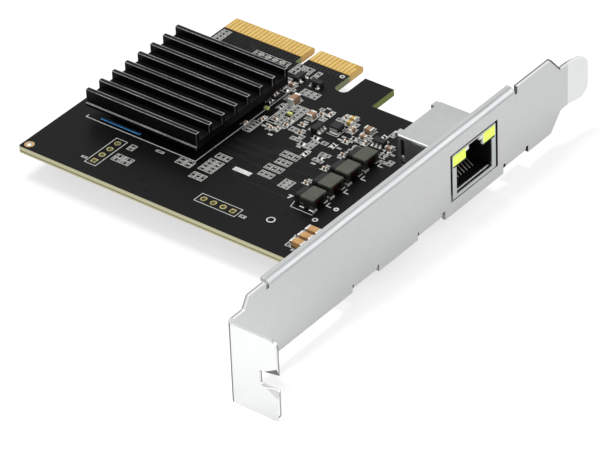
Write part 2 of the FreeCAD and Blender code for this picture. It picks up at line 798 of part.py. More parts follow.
def make_bracket_screws():
    """Two pan head screws that pull the board onto the bracket's ears."""
    screws = []
    for index, centre_y in enumerate(ear_spots, start=1):
        name = "screw_" + str(index)
        body = new_body(name)
        profile = new_sketch(body, name + "_profile", "XZ_Plane", -centre_y)
        draw_outline(profile, [
            (screw_axis_x, -d.screw_length),
            (screw_axis_x + d.screw_radius, -d.screw_length),
            (screw_axis_x + d.screw_radius, 0),
            (screw_axis_x + d.screw_head_radius, 0),
            (screw_axis_x + d.screw_head_radius, d.screw_head_height * 0.45),
            (screw_axis_x + d.screw_head_radius * 0.65, d.screw_head_height),
            (screw_axis_x, d.screw_head_height),
        ])
        spin = body.newObject("PartDesign::Revolution", name + "_turned")
        spin.Profile = profile
        spin.ReferenceAxis = (profile, ["Edge" + str(profile.GeometryCount)])
        spin.Angle = 360
        doc.recompute()
        cross = new_sketch(body, name + "_recess", "XY_Plane", d.screw_head_height)
        arm = d.recess_width / 2
        reach = d.screw_head_radius * 0.55
        draw_outline(cross, [
            (screw_axis_x - reach, centre_y - arm),
            (screw_axis_x - arm, centre_y - arm),
            (screw_axis_x - arm, centre_y - reach),
            (screw_axis_x + arm, centre_y - reach),
            (screw_axis_x + arm, centre_y - arm),
            (screw_axis_x + reach, centre_y - arm),
            (screw_axis_x + reach, centre_y + arm),
            (screw_axis_x + arm, centre_y + arm),
            (screw_axis_x + arm, centre_y + reach),
            (screw_axis_x - arm, centre_y + reach),
            (screw_axis_x - arm, centre_y + arm),
            (screw_axis_x - reach, centre_y + arm),
        ])
        pocket(body, cross, d.recess_depth)
        screws.append(body)
    new_group("bracket_screws", screws)


# --- socket --------------------------------------------------------------------------

def make_jack_shield():
    """Sheet metal shell with a front rim, side slots, solder wings and two rear hooks."""
    body = new_body("jack_shield")
    shell = new_sketch(body, "shell", "YZ_Plane", jack_back)
    draw_rectangle(shell, (jack_near, jack_low), (jack_far, jack_top))
    pad(body, shell, d.jack_depth)

    wings = new_sketch(body, "solder_wings", "XY_Plane", 0)
    wing_x = jack_back + d.side_slot_back
    draw_rectangle(wings, (wing_x, jack_near - d.wing_reach), (wing_x + d.wing_width, jack_near))
    draw_rectangle(wings, (wing_x, jack_far), (wing_x + d.wing_width, jack_far + d.wing_reach))
    pad(body, wings, d.shield_sheet)

    for name, low_y in (
        ("near_hook", jack_near + d.hook_start),
        ("far_hook", jack_far - d.hook_start - d.hook_width),
    ):
        hook = new_sketch(body, name, "XZ_Plane", -(low_y + d.hook_width))
        draw_outline(hook, [
            (jack_back, jack_top - d.shield_sheet),
            (jack_back, jack_top),
            (jack_back - d.hook_reach, jack_top),
            (jack_back - d.hook_reach, jack_top - d.hook_drop),
            (jack_back - d.hook_reach + d.shield_sheet, jack_top - d.hook_drop),
            (jack_back - d.hook_reach + d.shield_sheet, jack_top - d.shield_sheet),
        ])
        pad(body, hook, d.hook_width)

    inside = new_sketch(body, "inside", "YZ_Plane", d.face_x - d.shield_sheet)
    draw_rectangle(inside, (housing_near, housing_low), (housing_far, housing_top))
    pocket(body, inside, d.jack_depth - 2 * d.shield_sheet)

    front = new_sketch(body, "front_opening", "YZ_Plane", d.face_x)
    draw_outline(front, [
        (plug_near, plug_low),
        (plug_far, plug_low),
        (plug_far, plug_top),
        (housing_far, plug_top),
        (housing_far, housing_top),
        (housing_near, housing_top),
        (housing_near, plug_top),
        (plug_near, plug_top),
    ])
    pocket(body, front, d.shield_sheet)

    rear = new_sketch(body, "rear_opening", "YZ_Plane", jack_back + d.shield_sheet)
    draw_rectangle(rear, (plug_near, jack_low - 1), (plug_far, jack_low + d.rear_opening))
    pocket(body, rear, d.shield_sheet)

    slot = new_sketch(body, "side_slots", "XZ_Plane", -jack_near)
    draw_rectangle(
        slot,
        (wing_x, d.side_slot_low),
        (wing_x + d.side_slot_width, d.side_slot_low + d.side_slot_height),
    )
    pocket(body, slot, d.jack_width)
    round_edges(body, 0, [
        (None, jack_near, jack_top),
        (None, jack_far, jack_top),
    ], d.shield_sheet)


def make_jack_housing():
    """Plastic block inside the shield, with the plug cavity and its recesses."""
    body = new_body("jack_housing")
    block = new_sketch(body, "block", "YZ_Plane", housing_back)
    draw_rectangle(block, (housing_near, housing_low), (housing_far, housing_top))
    pad(body, block, housing_front - housing_back)

    cavity = new_sketch(body, "plug_cavity", "YZ_Plane", housing_front)
    draw_rectangle(cavity, (plug_near, plug_low), (plug_far, plug_top))
    pocket(body, cavity, d.plug_depth - d.shield_sheet)

    latch = new_sketch(body, "latch_recess", "YZ_Plane", housing_front)
    draw_rectangle(latch, (latch_near, plug_top), (latch_far, housing_top))
    pocket(body, latch, d.latch_depth - d.shield_sheet)

    lights = new_sketch(body, "light_pockets", "YZ_Plane", housing_front)
    draw_rectangle(lights, (housing_near, light_low), (latch_near, housing_top))
    draw_rectangle(lights, (latch_far, light_low), (housing_far, housing_top))
    pocket(body, lights, d.light_depth - d.shield_sheet)

    slots = new_sketch(body, "contact_slots", "YZ_Plane", d.face_x - d.plug_depth)
    low = wire_low + d.wire_rise
    for index in range(int(d.wire_count.value)):
        y = wire_first_y + index * d.wire_pitch
        half = d.wire_width / 2 + d.wire_gap
        draw_rectangle(slots, (y - half, low), (y + half, low + d.wire_thick + d.wire_gap))
    pocket(body, slots, d.face_x - d.plug_depth - housing_back)


def make_jack_contacts():
    """Eight sprung contacts that end in tails through the board."""
    contacts = []
    tip_x = d.face_x - d.wire_front
    knee_x = tip_x - d.wire_run
    low = wire_low + d.wire_rise
    half = d.wire_thick / 2
    bottom = solder_side - d.tail_below
    for index in range(int(d.wire_count.value)):
        name = "contact_" + str(index + 1)
        y = wire_first_y + index * d.wire_pitch
        body = new_body(name)
        wire = new_sketch(body, name + "_path", "XZ_Plane", -(y + d.wire_width / 2))
        draw_outline(wire, [
            (tip_x, wire_low),
            (tip_x, wire_low + d.wire_thick),
            (knee_x, low + d.wire_thick),
            (tail_row_x - half, low + d.wire_thick),
            (tail_row_x - half, bottom),
            (tail_row_x + half, bottom),
            (tail_row_x + half, low),
            (knee_x, low),
        ])
        pad(body, wire, d.wire_width)
        round_edges(body, 1, [(tail_row_x - half, None, low + d.wire_thick)], d.wire_thick)
        contacts.append(body)
    new_group("jack_contacts", contacts)


def make_jack_lights():
    """Two light guides in the socket's top corners, each with a lug."""
    top = housing_top - d.light_roof
    lug_low = top - d.light_lug_height
    sides = {
        "jack_light_near": (housing_near, latch_near, latch_near + d.light_lug),
        "jack_light_far": (housing_far, latch_far, latch_far - d.light_lug),
    }
    for name, (outer_y, inner_y, lug_y) in sides.items():
        body = new_body(name)
        section = new_sketch(body, name + "_section", "YZ_Plane", d.face_x - d.light_depth)
        draw_outline(section, [
            (outer_y, light_low),
            (inner_y, light_low),
            (inner_y, lug_low),
            (lug_y, lug_low),
            (lug_y, top),
            (outer_y, top),
        ])
        pad(body, section, d.light_depth)


# --- processor and heatsink ------------------------------------------------------------

def make_chip():
    body = new_body("controller_chip")
    half = d.chip_size / 2
    base = new_sketch(body, "substrate", "XY_Plane", 0)
    draw_rectangle(
        base, (sink_centre_x - half, sink_centre_y - half), (sink_centre_x + half, sink_centre_y + half)
    )
    pad(body, base, d.chip_height - d.chip_cap)
    inner = half - d.chip_step
    cap = new_sketch(body, "chip_cap", "XY_Plane", d.chip_height - d.chip_cap)
    draw_rectangle(
        cap,
        (sink_centre_x - inner, sink_centre_y - inner),
        (sink_centre_x + inner, sink_centre_y + inner),
    )
    pad(body, cap, d.chip_cap)

    half_pad = d.pad_size / 2
    film = new_box(
        "thermal_pad",
        (sink_centre_x - half_pad, sink_centre_y - half_pad, d.chip_height),
        (sink_centre_x + half_pad, sink_centre_y + half_pad, sink_low),
    )
    film.Label = "thermal_pad"


def make_heatsink():
    """Base with a ledge on its near side and a row of straight fins."""
    body = new_body("heatsink")
    base = new_sketch(body, "sink_base", "XY_Plane", sink_low)
    sink_far = d.sink_near + sink_span
    draw_rectangle(base, (d.sink_left, d.sink_near), (sink_right, sink_far))
    pad(body, base, d.sink_base)
    ledge = new_sketch(body, "sink_ledge", "XY_Plane", sink_low)
    draw_rectangle(ledge, (d.sink_left, d.sink_near - d.ledge_out), (sink_right, d.sink_near))
    pad(body, ledge, d.ledge_height)
    fin = new_sketch(body, "sink_fin", "XY_Plane", sink_low + d.sink_base)
    draw_rectangle(fin, (d.sink_left, d.sink_near), (sink_right, d.sink_near + d.fin_thick))
    first = pad(body, fin, d.fin_height)
    repeat(body, first, "Y_Axis", d.fin_pitch, d.fin_count)


def make_gap_pad():
    """Soft strip on the board, just outside the chip, below the heatsink's near edge."""
    middle = sink_centre_x - d.chip_size / 2 + d.gap_pad_length / 2
    near = d.sink_near + d.gap_pad_inset
    strip = new_box(
        "board_gap_pad",
        (middle - d.gap_pad_length / 2, near, 0),
        (middle + d.gap_pad_length / 2, near + d.gap_pad_width, d.gap_pad_height),
    )
    strip.Label = "board_gap_pad"


# --- chokes ------------------------------------------------------------------------------

def make_choke(index):
    """Wire-wound choke: ferrite drum on its side, winding, top plate, terminals."""
    name = str(index + 1)
    x = d.choke_x
    y = d.choke_near_y + index * d.choke_pitch
    half_x = d.choke_width / 2
    half_y = d.choke_length / 2
    floor = d.terminal_thick
    ceiling = d.choke_height - d.choke_plate
    bar_mid = (floor + ceiling) / 2
    bar_low = bar_mid - d.choke_bar_height / 2
    bar_high = bar_mid + d.choke_bar_height / 2
    window = half_y - d.choke_flange

    core = new_body("choke_core_" + name)
    ends = new_sketch(core, "drum_ends_" + name, "XY_Plane", floor)
    draw_rectangle(ends, (x - half_x, y - half_y), (x + half_x, y - window))
    draw_rectangle(ends, (x - half_x, y + window), (x + half_x, y + half_y))
    pad(core, ends, ceiling - floor)
    bar = new_sketch(core, "drum_bar_" + name, "XZ_Plane", -(y + window))
    draw_rectangle(bar, (x - d.choke_bar / 2, bar_low), (x + d.choke_bar / 2, bar_high))
    pad(core, bar, 2 * window)

    coil = new_body("choke_winding_" + name)
    turns = new_sketch(coil, "turns_" + name, "XZ_Plane", -(y + window))
    coil_x = d.choke_bar / 2 + d.coil_build
    draw_rectangle(
        turns, (x - coil_x, bar_low - d.coil_build), (x + coil_x, bar_high + d.coil_build)
    )
    pad(coil, turns, 2 * window)
    round_edges(coil, 1, [
        (x - coil_x, None, bar_low - d.coil_build),
        (x - coil_x, None, bar_high + d.coil_build),
        (x + coil_x, None, bar_low - d.coil_build),
        (x + coil_x, None, bar_high + d.coil_build),
    ], d.coil_corner)
    eye = new_sketch(coil, "eye_" + name, "XZ_Plane", -(y - window))
    draw_rectangle(eye, (x - d.choke_bar / 2, bar_low), (x + d.choke_bar / 2, bar_high))
    pocket(coil, eye, 2 * window)

    plate = new_box(
        "choke_plate_" + name,
        (x - half_x, y - half_y, ceiling),
        (x + half_x, y + half_y, d.choke_height),
    )
    plate.Label = "choke_plate_" + name

    feet = []
    for side_x in (x - half_x, x + half_x - d.terminal_width):
        for near in (y - half_y - d.terminal_thick, y + window):
            low = (side_x, near, 0)
            high = (side_x + d.terminal_width, near + d.choke_flange + d.terminal_thick, floor)
            feet.append(new_box("foot_" + name + "_" + str(len(feet)), low, high))
        for near in (y - half_y - d.terminal_thick, y + half_y):
            low = (side_x, near, floor)
            high = (side_x + d.terminal_width, near + d.terminal_thick, bar_mid)
            feet.append(new_box("riser_" + name + "_" + str(len(feet)), low, high))
    return feet


def make_chokes():
    feet = []
    for index in range(int(d.choke_count.value)):
        feet += make_choke(index)
    new_group("choke_terminals", feet)


# --- small parts ---------------------------------------------------------------------------

def chip_part(name, centre, along, sizes):
    """A two-ended part: returns its body and its two metal ends."""
    length, width, height, cap = sizes
    x, y = centre
    if along == "x":
        half_x, half_y = length / 2, width / 2
        spans = [
            ((x - half_x, y - half_y), (x - half_x + cap, y + half_y)),
            ((x + half_x - cap, y - half_y), (x + half_x, y + half_y)),
        ]
        middle = ((x - half_x + cap, y - half_y), (x + half_x - cap, y + half_y))
    else:
        half_x, half_y = width / 2, length / 2
        spans = [
            ((x - half_x, y - half_y), (x + half_x, y - half_y + cap)),
            ((x - half_x, y + half_y - cap), (x + half_x, y + half_y)),
        ]
        middle = ((x - half_x, y - half_y + cap), (x + half_x, y + half_y - cap))
    ends = []
    for side, (low, high) in enumerate(spans):
        ends.append(new_box(name + "_end_" + str(side), (*low, 0), (*high, height)))
    return new_box(name, (*middle[0], 0), (*middle[1], height)), ends


SIZES = {
    "large": (2.9, 1.5, 1.5, 0.5),
    "medium": (2.0, 1.4, 1.2, 0.4),
    "small": (1.6, 0.85, 0.8, 0.35),
    "tiny": (1.0, 0.5, 0.5, 0.25),
    "flat": (1.6, 0.8, 0.45, 0.3),
    "flat_tiny": (1.0, 0.5, 0.35, 0.2),
}

TAN_CAPACITORS = [
    (8.6, -19.5, "y", "large"),
    (15.2, -22.0, "y", "medium"),
    (28.55, -19.65, "x", "medium"),
]

GOLD_CAPACITORS = [(23.0, -17.9, "x", "small"), (23.3, -19.55, "x", "small")]

SMALL_CAPACITORS = [
    (4.9, -31.7, "y", "tiny"),
    (7.0, -28.5, "y", "tiny"),
    (9.2, -26.9, "x", "tiny"),
    (12.3, -25.7, "x", "tiny"),
    (12.5, -27.4, "x", "tiny"),
    (10.4, -30.2, "y", "tiny"),
    (11.9, -29.7, "y", "tiny"),
    (16.8, -28.1, "x", "tiny"),
    (15.3, -25.3, "x", "tiny"),
    (16.2, -19.8, "x", "tiny"),
    (17.8, -19.1, "y", "tiny"),
    (4.4, -14.9, "x", "small"),
    (3.3, -19.4, "y", "tiny"),
    (21.1, -18.2, "y", "tiny"),
    (25.3, -21.3, "y", "small"),
    (28.8, -22.0, "x", "small"),
    (26.7, -25.3, "x", "tiny"),
    (30.4, -23.6, "y", "tiny"),
    (29.8, -26.3, "x", "tiny"),
    (35.8, -22.5, "x", "small"),
    (29.1, -41.85, "x", "tiny"),
    (29.1, -35.7, "x", "tiny"),
    (29.1, -29.5, "x", "tiny"),
]

SMALL_RESISTORS = [
    (7.3, -22.6, "y", "flat_tiny"),
    (19.6, -31.1, "x", "flat_tiny"),
    (20.7, -27.7, "x", "flat_tiny"),
    (25.4, -28.0, "y", "flat_tiny"),
    (4.3, -17.0, "x", "flat_tiny"),
    (4.1, -22.1, "y", "flat_tiny"),
    (27.4, -23.4, "x", "flat_tiny"),
    (29.7, -27.8, "x", "flat_tiny"),
    (32.3, -19.5, "y", "flat_tiny"),
    (36.0, -23.7, "x", "flat_tiny"),
    (36.2, -25.3, "x", "flat_tiny"),
    (25.9, -33.1, "x", "flat_tiny"),
    (22.4, -33.7, "y", "flat_tiny"),
]


def make_row(prefix, places, share=None):
    """Chip parts at their places. Returns their metal ends."""
    bodies = []
    ends = []
    for index, (x, y, along, size) in enumerate(places, start=1):
        name = prefix + "_" + str(index)
        body, caps = chip_part(name, (x, y), along, SIZES[size])
        body.Label = name
        bodies.append(body)
        ends += caps
    if share:
        new_group(share, bodies)
    return ends


def make_capacitors():
    ends = []
    big = (d.big_length, d.big_width, d.big_height, d.big_cap)
    for index in range(3):
        name = "large_capacitor_" + str(index + 1)
        centre = (d.big_x, d.big_y + index * d.big_pitch)
        body, caps = chip_part(name, centre, "x", big)
        body.Label = name
        ends += caps
    new_group("large_capacitor_ends", ends)
    ends = make_row("tan_capacitor", TAN_CAPACITORS)
    ends += make_row("gold_part", GOLD_CAPACITORS, "gold_capacitors")
    ends += make_row("tiny_capacitor", SMALL_CAPACITORS, "small_capacitors")
    ends += make_row("tiny_resistor", SMALL_RESISTORS, "small_resistors")
    new_group("small_part_ends", ends)


def make_inductor():
    """Square moulded inductor with two terminals that rise up its sides."""
    half = d.coil_side / 2
    body = new_body("power_inductor")
    section = new_sketch(body, "inductor_section", "XY_Plane", d.coil_foot)
    draw_rectangle(section, (d.coil_x - half, d.coil_y - half), (d.coil_x + half, d.coil_y + half))
    pad(body, section, d.coil_height - d.coil_foot)
    feet = []
    left = d.coil_x - d.coil_foot_width / 2
    right = d.coil_x + d.coil_foot_width / 2
    under = half * 0.6 + d.coil_foot_out
    for side, (foot_y, riser_y) in enumerate((
        (d.coil_y - half - d.coil_foot_out, d.coil_y - half - d.coil_foot_out),
        (d.coil_y + half * 0.4, d.coil_y + half),
    )):
        low = (left, foot_y, 0)
        high = (right, foot_y + under, d.coil_foot)
        feet.append(new_box("inductor_foot_" + str(side), low, high))
        low = (left, riser_y, d.coil_foot)
        high = (right, riser_y + d.coil_foot_out, d.coil_foot_rise)
        feet.append(new_box("inductor_riser_" + str(side), low, high))
    new_group("inductor_terminals", feet)


# Each package: name, centre, direction of its leads, how many on the low and on
# the high side, body along the row and across it, node of its leads.
PACKAGES = [
    ("transistor_1", (3.9, -11.6), "x", 1, 2, 2.9, 1.4, "transistor_leads"),
    ("transistor_2", (8.5, -11.5), "y", 2, 1, 2.9, 1.3, "transistor_leads"),
    ("regulator_chip", (18.9, -24.9), "x", 3, 3, 2.9, 1.6, "chip_leads"),
    ("line_guard_chip", (32.9, -21.8), "y", 3, 3, 2.9, 1.6, "chip_leads"),
]

# Places of one, two or three leads along a row, in pitches from its middle.
LEAD_ROWS = {1: (0,), 2: (-1, 1), 3: (-1, 0, 1)}


def bent_lead(name, direction, row_at, side_at, outward):
    """One lead, bent from the side of a package down to its foot on the board."""
    z = d.case_lift + d.case_height / 2
    thick = d.lead_thick
    near_drop = side_at + outward * (d.lead_out - d.lead_foot)
    end = side_at + outward * d.lead_out
    bent = new_body(name)
    if direction == "y":
        path = new_sketch(bent, name + "_path", "YZ_Plane", row_at - d.lead_width / 2)
    else:
        path = new_sketch(bent, name + "_path", "XZ_Plane", -(row_at + d.lead_width / 2))
    draw_outline(path, [
        (side_at, z),
        (near_drop + outward * thick, z),
        (near_drop + outward * thick, thick),
        (end, thick),
        (end, 0),
        (near_drop, 0),
        (near_drop, z - thick),
        (side_at, z - thick),
    ])
    pad(bent, path, d.lead_width)
    return bent


def make_packages():
    """Two transistors, the voltage regulator and the line guard."""
    leads = {}
    for name, centre, direction, low_count, high_count, length, width, share in PACKAGES:
        row = 0 if direction == "y" else 1
        across = 1 - row
        half = [length / 2, length / 2]
        half[across] = width / 2
        case = new_body(name)
        section = new_sketch(case, name + "_section", "XY_Plane", d.case_lift)
        draw_rectangle(
            section,
            (centre[0] - half[0], centre[1] - half[1]),
            (centre[0] + half[0], centre[1] + half[1]),
        )
        pad(case, section, d.case_height)
        members = leads.setdefault(share, [])
        for count, outward in ((low_count, -1), (high_count, 1)):
            side_at = centre[across] + outward * width / 2
            for step in LEAD_ROWS[count]:
                row_at = centre[row] + step * d.lead_pitch
                label = name + "_lead_" + str(len(members) + 1)
                members.append(bent_lead(label, direction, row_at, side_at, outward))
    for share, members in leads.items():
        new_group(share, members)


def make_board_lights():
    """Two tiny lights beside the heatsink."""
    for index, (x, y) in enumerate(((5.4, -24.9), (10.8, -23.85)), start=1):
        name = "board_light_" + str(index)
        low = (x - 0.55, y - 0.4, 0)
        high = (x + 0.55, y + 0.4, 0.55)
        light = new_box(name, low, high)
        light.Label = name


make_board()
make_edge_contacts()
make_plated_pads()
make_bracket()
make_bracket_screws()
make_jack_shield()
make_jack_housing()
make_jack_contacts()
make_jack_lights()
make_chip()
make_heatsink()
make_gap_pad()
make_chokes()
make_capacitors()
make_inductor()
make_packages()
make_board_lights()
doc.recompute()

# --- check and write -------------------------------------------------------------------

NODES = [
    "circuit_board", "edge_contacts_front", "edge_contacts_back", "plated_pads",
    "bracket", "bracket_screws",
    "jack_shield", "jack_housing", "jack_contacts", "jack_light_near", "jack_light_far",
    "controller_chip", "thermal_pad", "heatsink", "board_gap_pad",
    "choke_terminals",
    "large_capacitor_1", "large_capacitor_2", "large_capacitor_3", "large_capacitor_ends",
    "tan_capacitor_1", "tan_capacitor_2", "tan_capacitor_3", "gold_capacitors",
    "small_capacitors", "small_resistors", "small_part_ends",
    "power_inductor", "inductor_terminals",
    "transistor_1", "transistor_2", "transistor_leads",
    "regulator_chip", "line_guard_chip", "chip_leads",
    "board_light_1", "board_light_2",
]
for piece in ("choke_core_", "choke_winding_", "choke_plate_"):
    NODES += [piece + str(index + 1) for index in range(int(d.choke_count.value))]

for item in doc.Objects:
    if "Invalid" in item.State or "Error" in item.State:
        raise RuntimeError(item.Name + " did not recompute")

os.makedirs("parts", exist_ok=True)
for name in NODES:
    shape = doc.getObject(name).Shape
    if shape.isNull() or not shape.isValid():
        raise RuntimeError(name + " has no valid shape")
    shape.exportStep("parts/" + name + ".step")
    print(name, len(shape.Solids), round(shape.Volume, 2))
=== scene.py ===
# %% [markdown]
# A network interface card lies on a pale studio floor. Its solids come from the
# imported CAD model, in metres, and stay where they are. This file gives them their
# finishes and adds what a CAD model leaves out: printed outlines, copper tracks,
# solder, turns of wire and softened edges.

# %% load the frame
import math
import random
from functools import reduce

import bmesh
import bpy
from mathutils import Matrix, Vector
from mathutils.bvhtree import BVHTree


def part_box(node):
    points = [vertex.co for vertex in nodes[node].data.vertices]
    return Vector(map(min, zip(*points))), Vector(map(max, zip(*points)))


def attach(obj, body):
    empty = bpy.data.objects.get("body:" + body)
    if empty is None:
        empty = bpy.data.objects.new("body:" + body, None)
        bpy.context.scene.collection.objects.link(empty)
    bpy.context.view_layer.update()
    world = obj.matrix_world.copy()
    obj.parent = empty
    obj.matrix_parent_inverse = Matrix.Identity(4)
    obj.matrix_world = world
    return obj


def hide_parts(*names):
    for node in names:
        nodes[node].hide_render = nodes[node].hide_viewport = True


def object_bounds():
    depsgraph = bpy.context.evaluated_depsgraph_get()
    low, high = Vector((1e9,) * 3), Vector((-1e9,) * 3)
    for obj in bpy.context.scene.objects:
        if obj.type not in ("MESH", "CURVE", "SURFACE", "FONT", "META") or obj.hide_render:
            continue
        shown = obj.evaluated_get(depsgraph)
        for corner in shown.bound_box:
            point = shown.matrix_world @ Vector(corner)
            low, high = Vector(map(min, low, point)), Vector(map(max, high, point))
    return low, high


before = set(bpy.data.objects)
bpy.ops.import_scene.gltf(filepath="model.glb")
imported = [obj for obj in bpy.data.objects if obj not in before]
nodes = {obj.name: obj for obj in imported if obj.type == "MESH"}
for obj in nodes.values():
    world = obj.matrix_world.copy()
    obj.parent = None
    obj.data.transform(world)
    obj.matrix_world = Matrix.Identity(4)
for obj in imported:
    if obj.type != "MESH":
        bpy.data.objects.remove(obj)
cad_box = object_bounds()
MM = 0.001
print("solids:", len(nodes))


# %% [markdown]
# Shader trees are easier to read when a node stands together with its settings and
# with what goes into it. In these helpers the value of an input is either a plain
# value or another node's output, which is then linked. A tone is typed as 0 to
# 255, as paint charts give it. Every finish below starts from one Principled BSDF,
# whose constants are typed straight into its own sockets.

# %% helpers for shader trees
def feed(tree, target, value):
    """Gives an input a plain value, or links another node's output to it."""
    if isinstance(value, bpy.types.NodeSocket):
        tree.links.new(value, target)
    else:
        target.default_value = value


def add(tree, kind, values=None, **settings):
    """A new node, with its plain settings and what goes into its inputs."""
    node = tree.nodes.new(kind)
    for name, value in settings.items():
        setattr(node, name, value)
    for name, value in (values or {}).items():
        feed(tree, node.inputs[name], value)
    return node


def compute(tree, operation, *values, kind="ShaderNodeMath"):
    """The result of one step of arithmetic."""
    return add(tree, kind, dict(enumerate(values)), operation=operation).outputs[0]


def both(tree, *masks):
    """White where every mask is white."""
    return reduce(lambda one, other: compute(tree, "MULTIPLY", one, other), masks)


def either(tree, *masks):
    """White where any mask is white."""
    return reduce(lambda one, other: compute(tree, "MAXIMUM", one, other), masks)


def paint(tone):
    """A typed tone in linear light, opaque."""
    shares = (value / 255 for value in tone)
    return (*(s / 12.92 if s < 0.04045 else ((s + 0.055) / 1.055) ** 2.4 for s in shares), 1)


def mix(tree, mask, first, second, data_type="RGBA"):
    """Goes from the first to the second by a mask. Each is an output, a tone or a number."""
    first, second = (paint(v) if isinstance(v, tuple) else v for v in (first, second))
    values = {"Factor": mask, "A": first, "B": second}
    return add(tree, "ShaderNodeMix", values, data_type=data_type).outputs["Result"]


print("shader helpers ready")


# %% helpers for finishes
def parts_of(material):
    """The node tree of a finish, and its shader."""
    return material.node_tree, material.node_tree.nodes["Principled BSDF"]


def source(shader, title):
    """The output that now feeds one of a shader's inputs."""
    return shader.inputs[title].links[0].from_socket


def new_finish(name, tone, roughness, metallic=0.0, **extra):
    """A material with one Principled BSDF. Extra names more of its sockets."""
    material = bpy.data.materials.new(name)
    material.use_nodes = True
    _, shader = parts_of(material)
    constants = {"Base_Color": paint(tone), "Roughness": roughness, "Metallic": metallic}
    for title, value in (constants | extra).items():
        shader.inputs[title.replace("_", " ")].default_value = value
    return material


def dress(material, *node_names):
    """Puts one material on CAD solids."""
    for node_name in node_names:
        mesh = nodes[node_name].data
        mesh.materials.clear()
        mesh.materials.append(material)


print("finish helpers ready")


# %% [markdown]
# Real surfaces are never one even tone. Moulded, plated and lacquered parts share
# three effects, so each effect is a node group that is built once. "mottle" mixes
# two tones with soft blotches and fine grain. "grain_bump" tilts the normal a
# little, and starts from the rounded normal of a Bevel node. "band_mask" gives a
# mask that changes along one axis of the object. The groups put out only a colour,
# a normal or a mask, and the shader stays outside.

# %% node group: mottle
def start_group(name, inputs, output, kind):
    """An empty group with its sockets. Gives what comes in and where the result goes."""
    group = bpy.data.node_groups.new(name, "ShaderNodeTree")
    for title, input_kind in inputs.items():
        group.interface.new_socket(title, in_out="INPUT", socket_type="NodeSocket" + input_kind)
    group.interface.new_socket(output, in_out="OUTPUT", socket_type="NodeSocket" + kind)
    return group, add(group, "NodeGroupInput").outputs, add(group, "NodeGroupOutput").inputs[0]


def object_place(tree):
    return add(tree, "ShaderNodeTexCoord").outputs["Object"]


def noise(tree, place, scale, detail, roughness=0.5):
    return add(tree, "ShaderNodeTexNoise", {
        "Vector": place, "Scale": scale, "Detail": detail, "Roughness": roughness}).outputs["Fac"]


def make_mottle():
    group, given, end = start_group(
        "mottle", {"Light Tone": "Color", "Dark Tone": "Color", "Blotch Scale": "Float",
                   "Grain Scale": "Float"}, "Color", "Color")
    place = object_place(group)
    blotch = noise(group, place, given["Blotch Scale"], 3.0, 0.55)
    grain = noise(group, place, given["Grain Scale"], 2.0, 0.7)
    spread = add(group, "ShaderNodeMapRange", {
        "Value": mix(group, 0.35, blotch, grain, "FLOAT"), "From Min": 0.3, "From Max": 0.7})
    feed(group, end, mix(group, spread.outputs["Result"], given["Dark Tone"], given["Light Tone"]))
    return group


mottle = make_mottle()
print("group:", mottle.name)


# %% node group: grain bump
def make_grain_bump():
    group, given, end = start_group(
        "grain_bump", {"Scale": "Float", "Stretch": "Vector", "Strength": "Float",
                       "Height": "Float", "Base Normal": "Vector"}, "Normal", "Vector")
    squeezed = compute(group, "MULTIPLY", object_place(group), given["Stretch"],
                       kind="ShaderNodeVectorMath")
    bump = add(group, "ShaderNodeBump", {
        "Height": noise(group, squeezed, given["Scale"], 4.0, 0.6),
        "Strength": given["Strength"], "Distance": given["Height"],
        "Normal": given["Base Normal"]})
    feed(group, end, bump.outputs["Normal"])
    return group


grain_bump = make_grain_bump()
print("group:", grain_bump.name)


# %% node group: band mask
WAYS = {"+X": (1, 0, 0), "-X": (-1, 0, 0), "+Y": (0, 1, 0), "-Y": (0, -1, 0),
        "+Z": (0, 0, 1), "-Z": (0, 0, -1)}


def make_band_mask():
    """White where a point's distance along an axis passes from Start to Stop."""
    group, given, end = start_group(
        "band_mask", {"Axis": "Vector", "Start": "Float", "Stop": "Float"}, "Mask", "Float")
    along = add(group, "ShaderNodeVectorMath", {0: object_place(group), 1: given["Axis"]},
                operation="DOT_PRODUCT")
    spread = add(group, "ShaderNodeMapRange", {
        "Value": along.outputs["Value"], "From Min": given["Start"],
        "From Max": given["Stop"]})
    feed(group, end, spread.outputs["Result"])
    return group


band_mask = make_band_mask()


def past(tree, way, start, width=0.1):
    """White past a place along an axis, in millimetres. The way is "+Y" or a vector."""
    return add(tree, "ShaderNodeGroup", {
        "Axis": WAYS.get(way, way), "Start": start * MM, "Stop": (start + width) * MM,
    }, node_tree=band_mask).outputs["Mask"]


print("group:", band_mask.name)


# %% [markdown]
# Most of the finishes differ only in their tones, gloss and grain, so one helper
# wires the mottle and the grain bump into the shader. A Bevel node gives the
# normal that the bump starts from: it rounds the shading of every sharp edge by a
# few hundredths of a millimetre, as every real edge is rounded, and leaves the
# mesh alone. Special finishes, such as the board's lacquer, add their own nodes.

# %% helper: a mottled finish
def mottled_finish(name, light, dark, roughness, metallic=0.0, blotch=60.0, grain=900.0,
                   bump=0.1, bump_scale=2500.0, bump_height=0.00002, stretch=(1, 1, 1),
                   rounding=0.05, **extra):
    material = new_finish(name, light, roughness, metallic, **extra)
    tree, shader = parts_of(material)
    tone = add(tree, "ShaderNodeGroup", {
        "Light Tone": paint(light), "Dark Tone": paint(dark), "Blotch Scale": blotch,
        "Grain Scale": grain}, node_tree=mottle)
    edge = add(tree, "ShaderNodeBevel", {"Radius": rounding * MM}, samples=4)
    rough = add(tree, "ShaderNodeGroup", {
        "Scale": bump_scale, "Stretch": stretch, "Strength": bump, "Height": bump_height,
        "Base Normal": edge.outputs["Normal"]}, node_tree=grain_bump)
    feed(tree, shader.inputs["Base Color"], tone.outputs["Color"])
    feed(tree, shader.inputs["Normal"], rough.outputs["Normal"])
    return material


print("mottled finish ready")


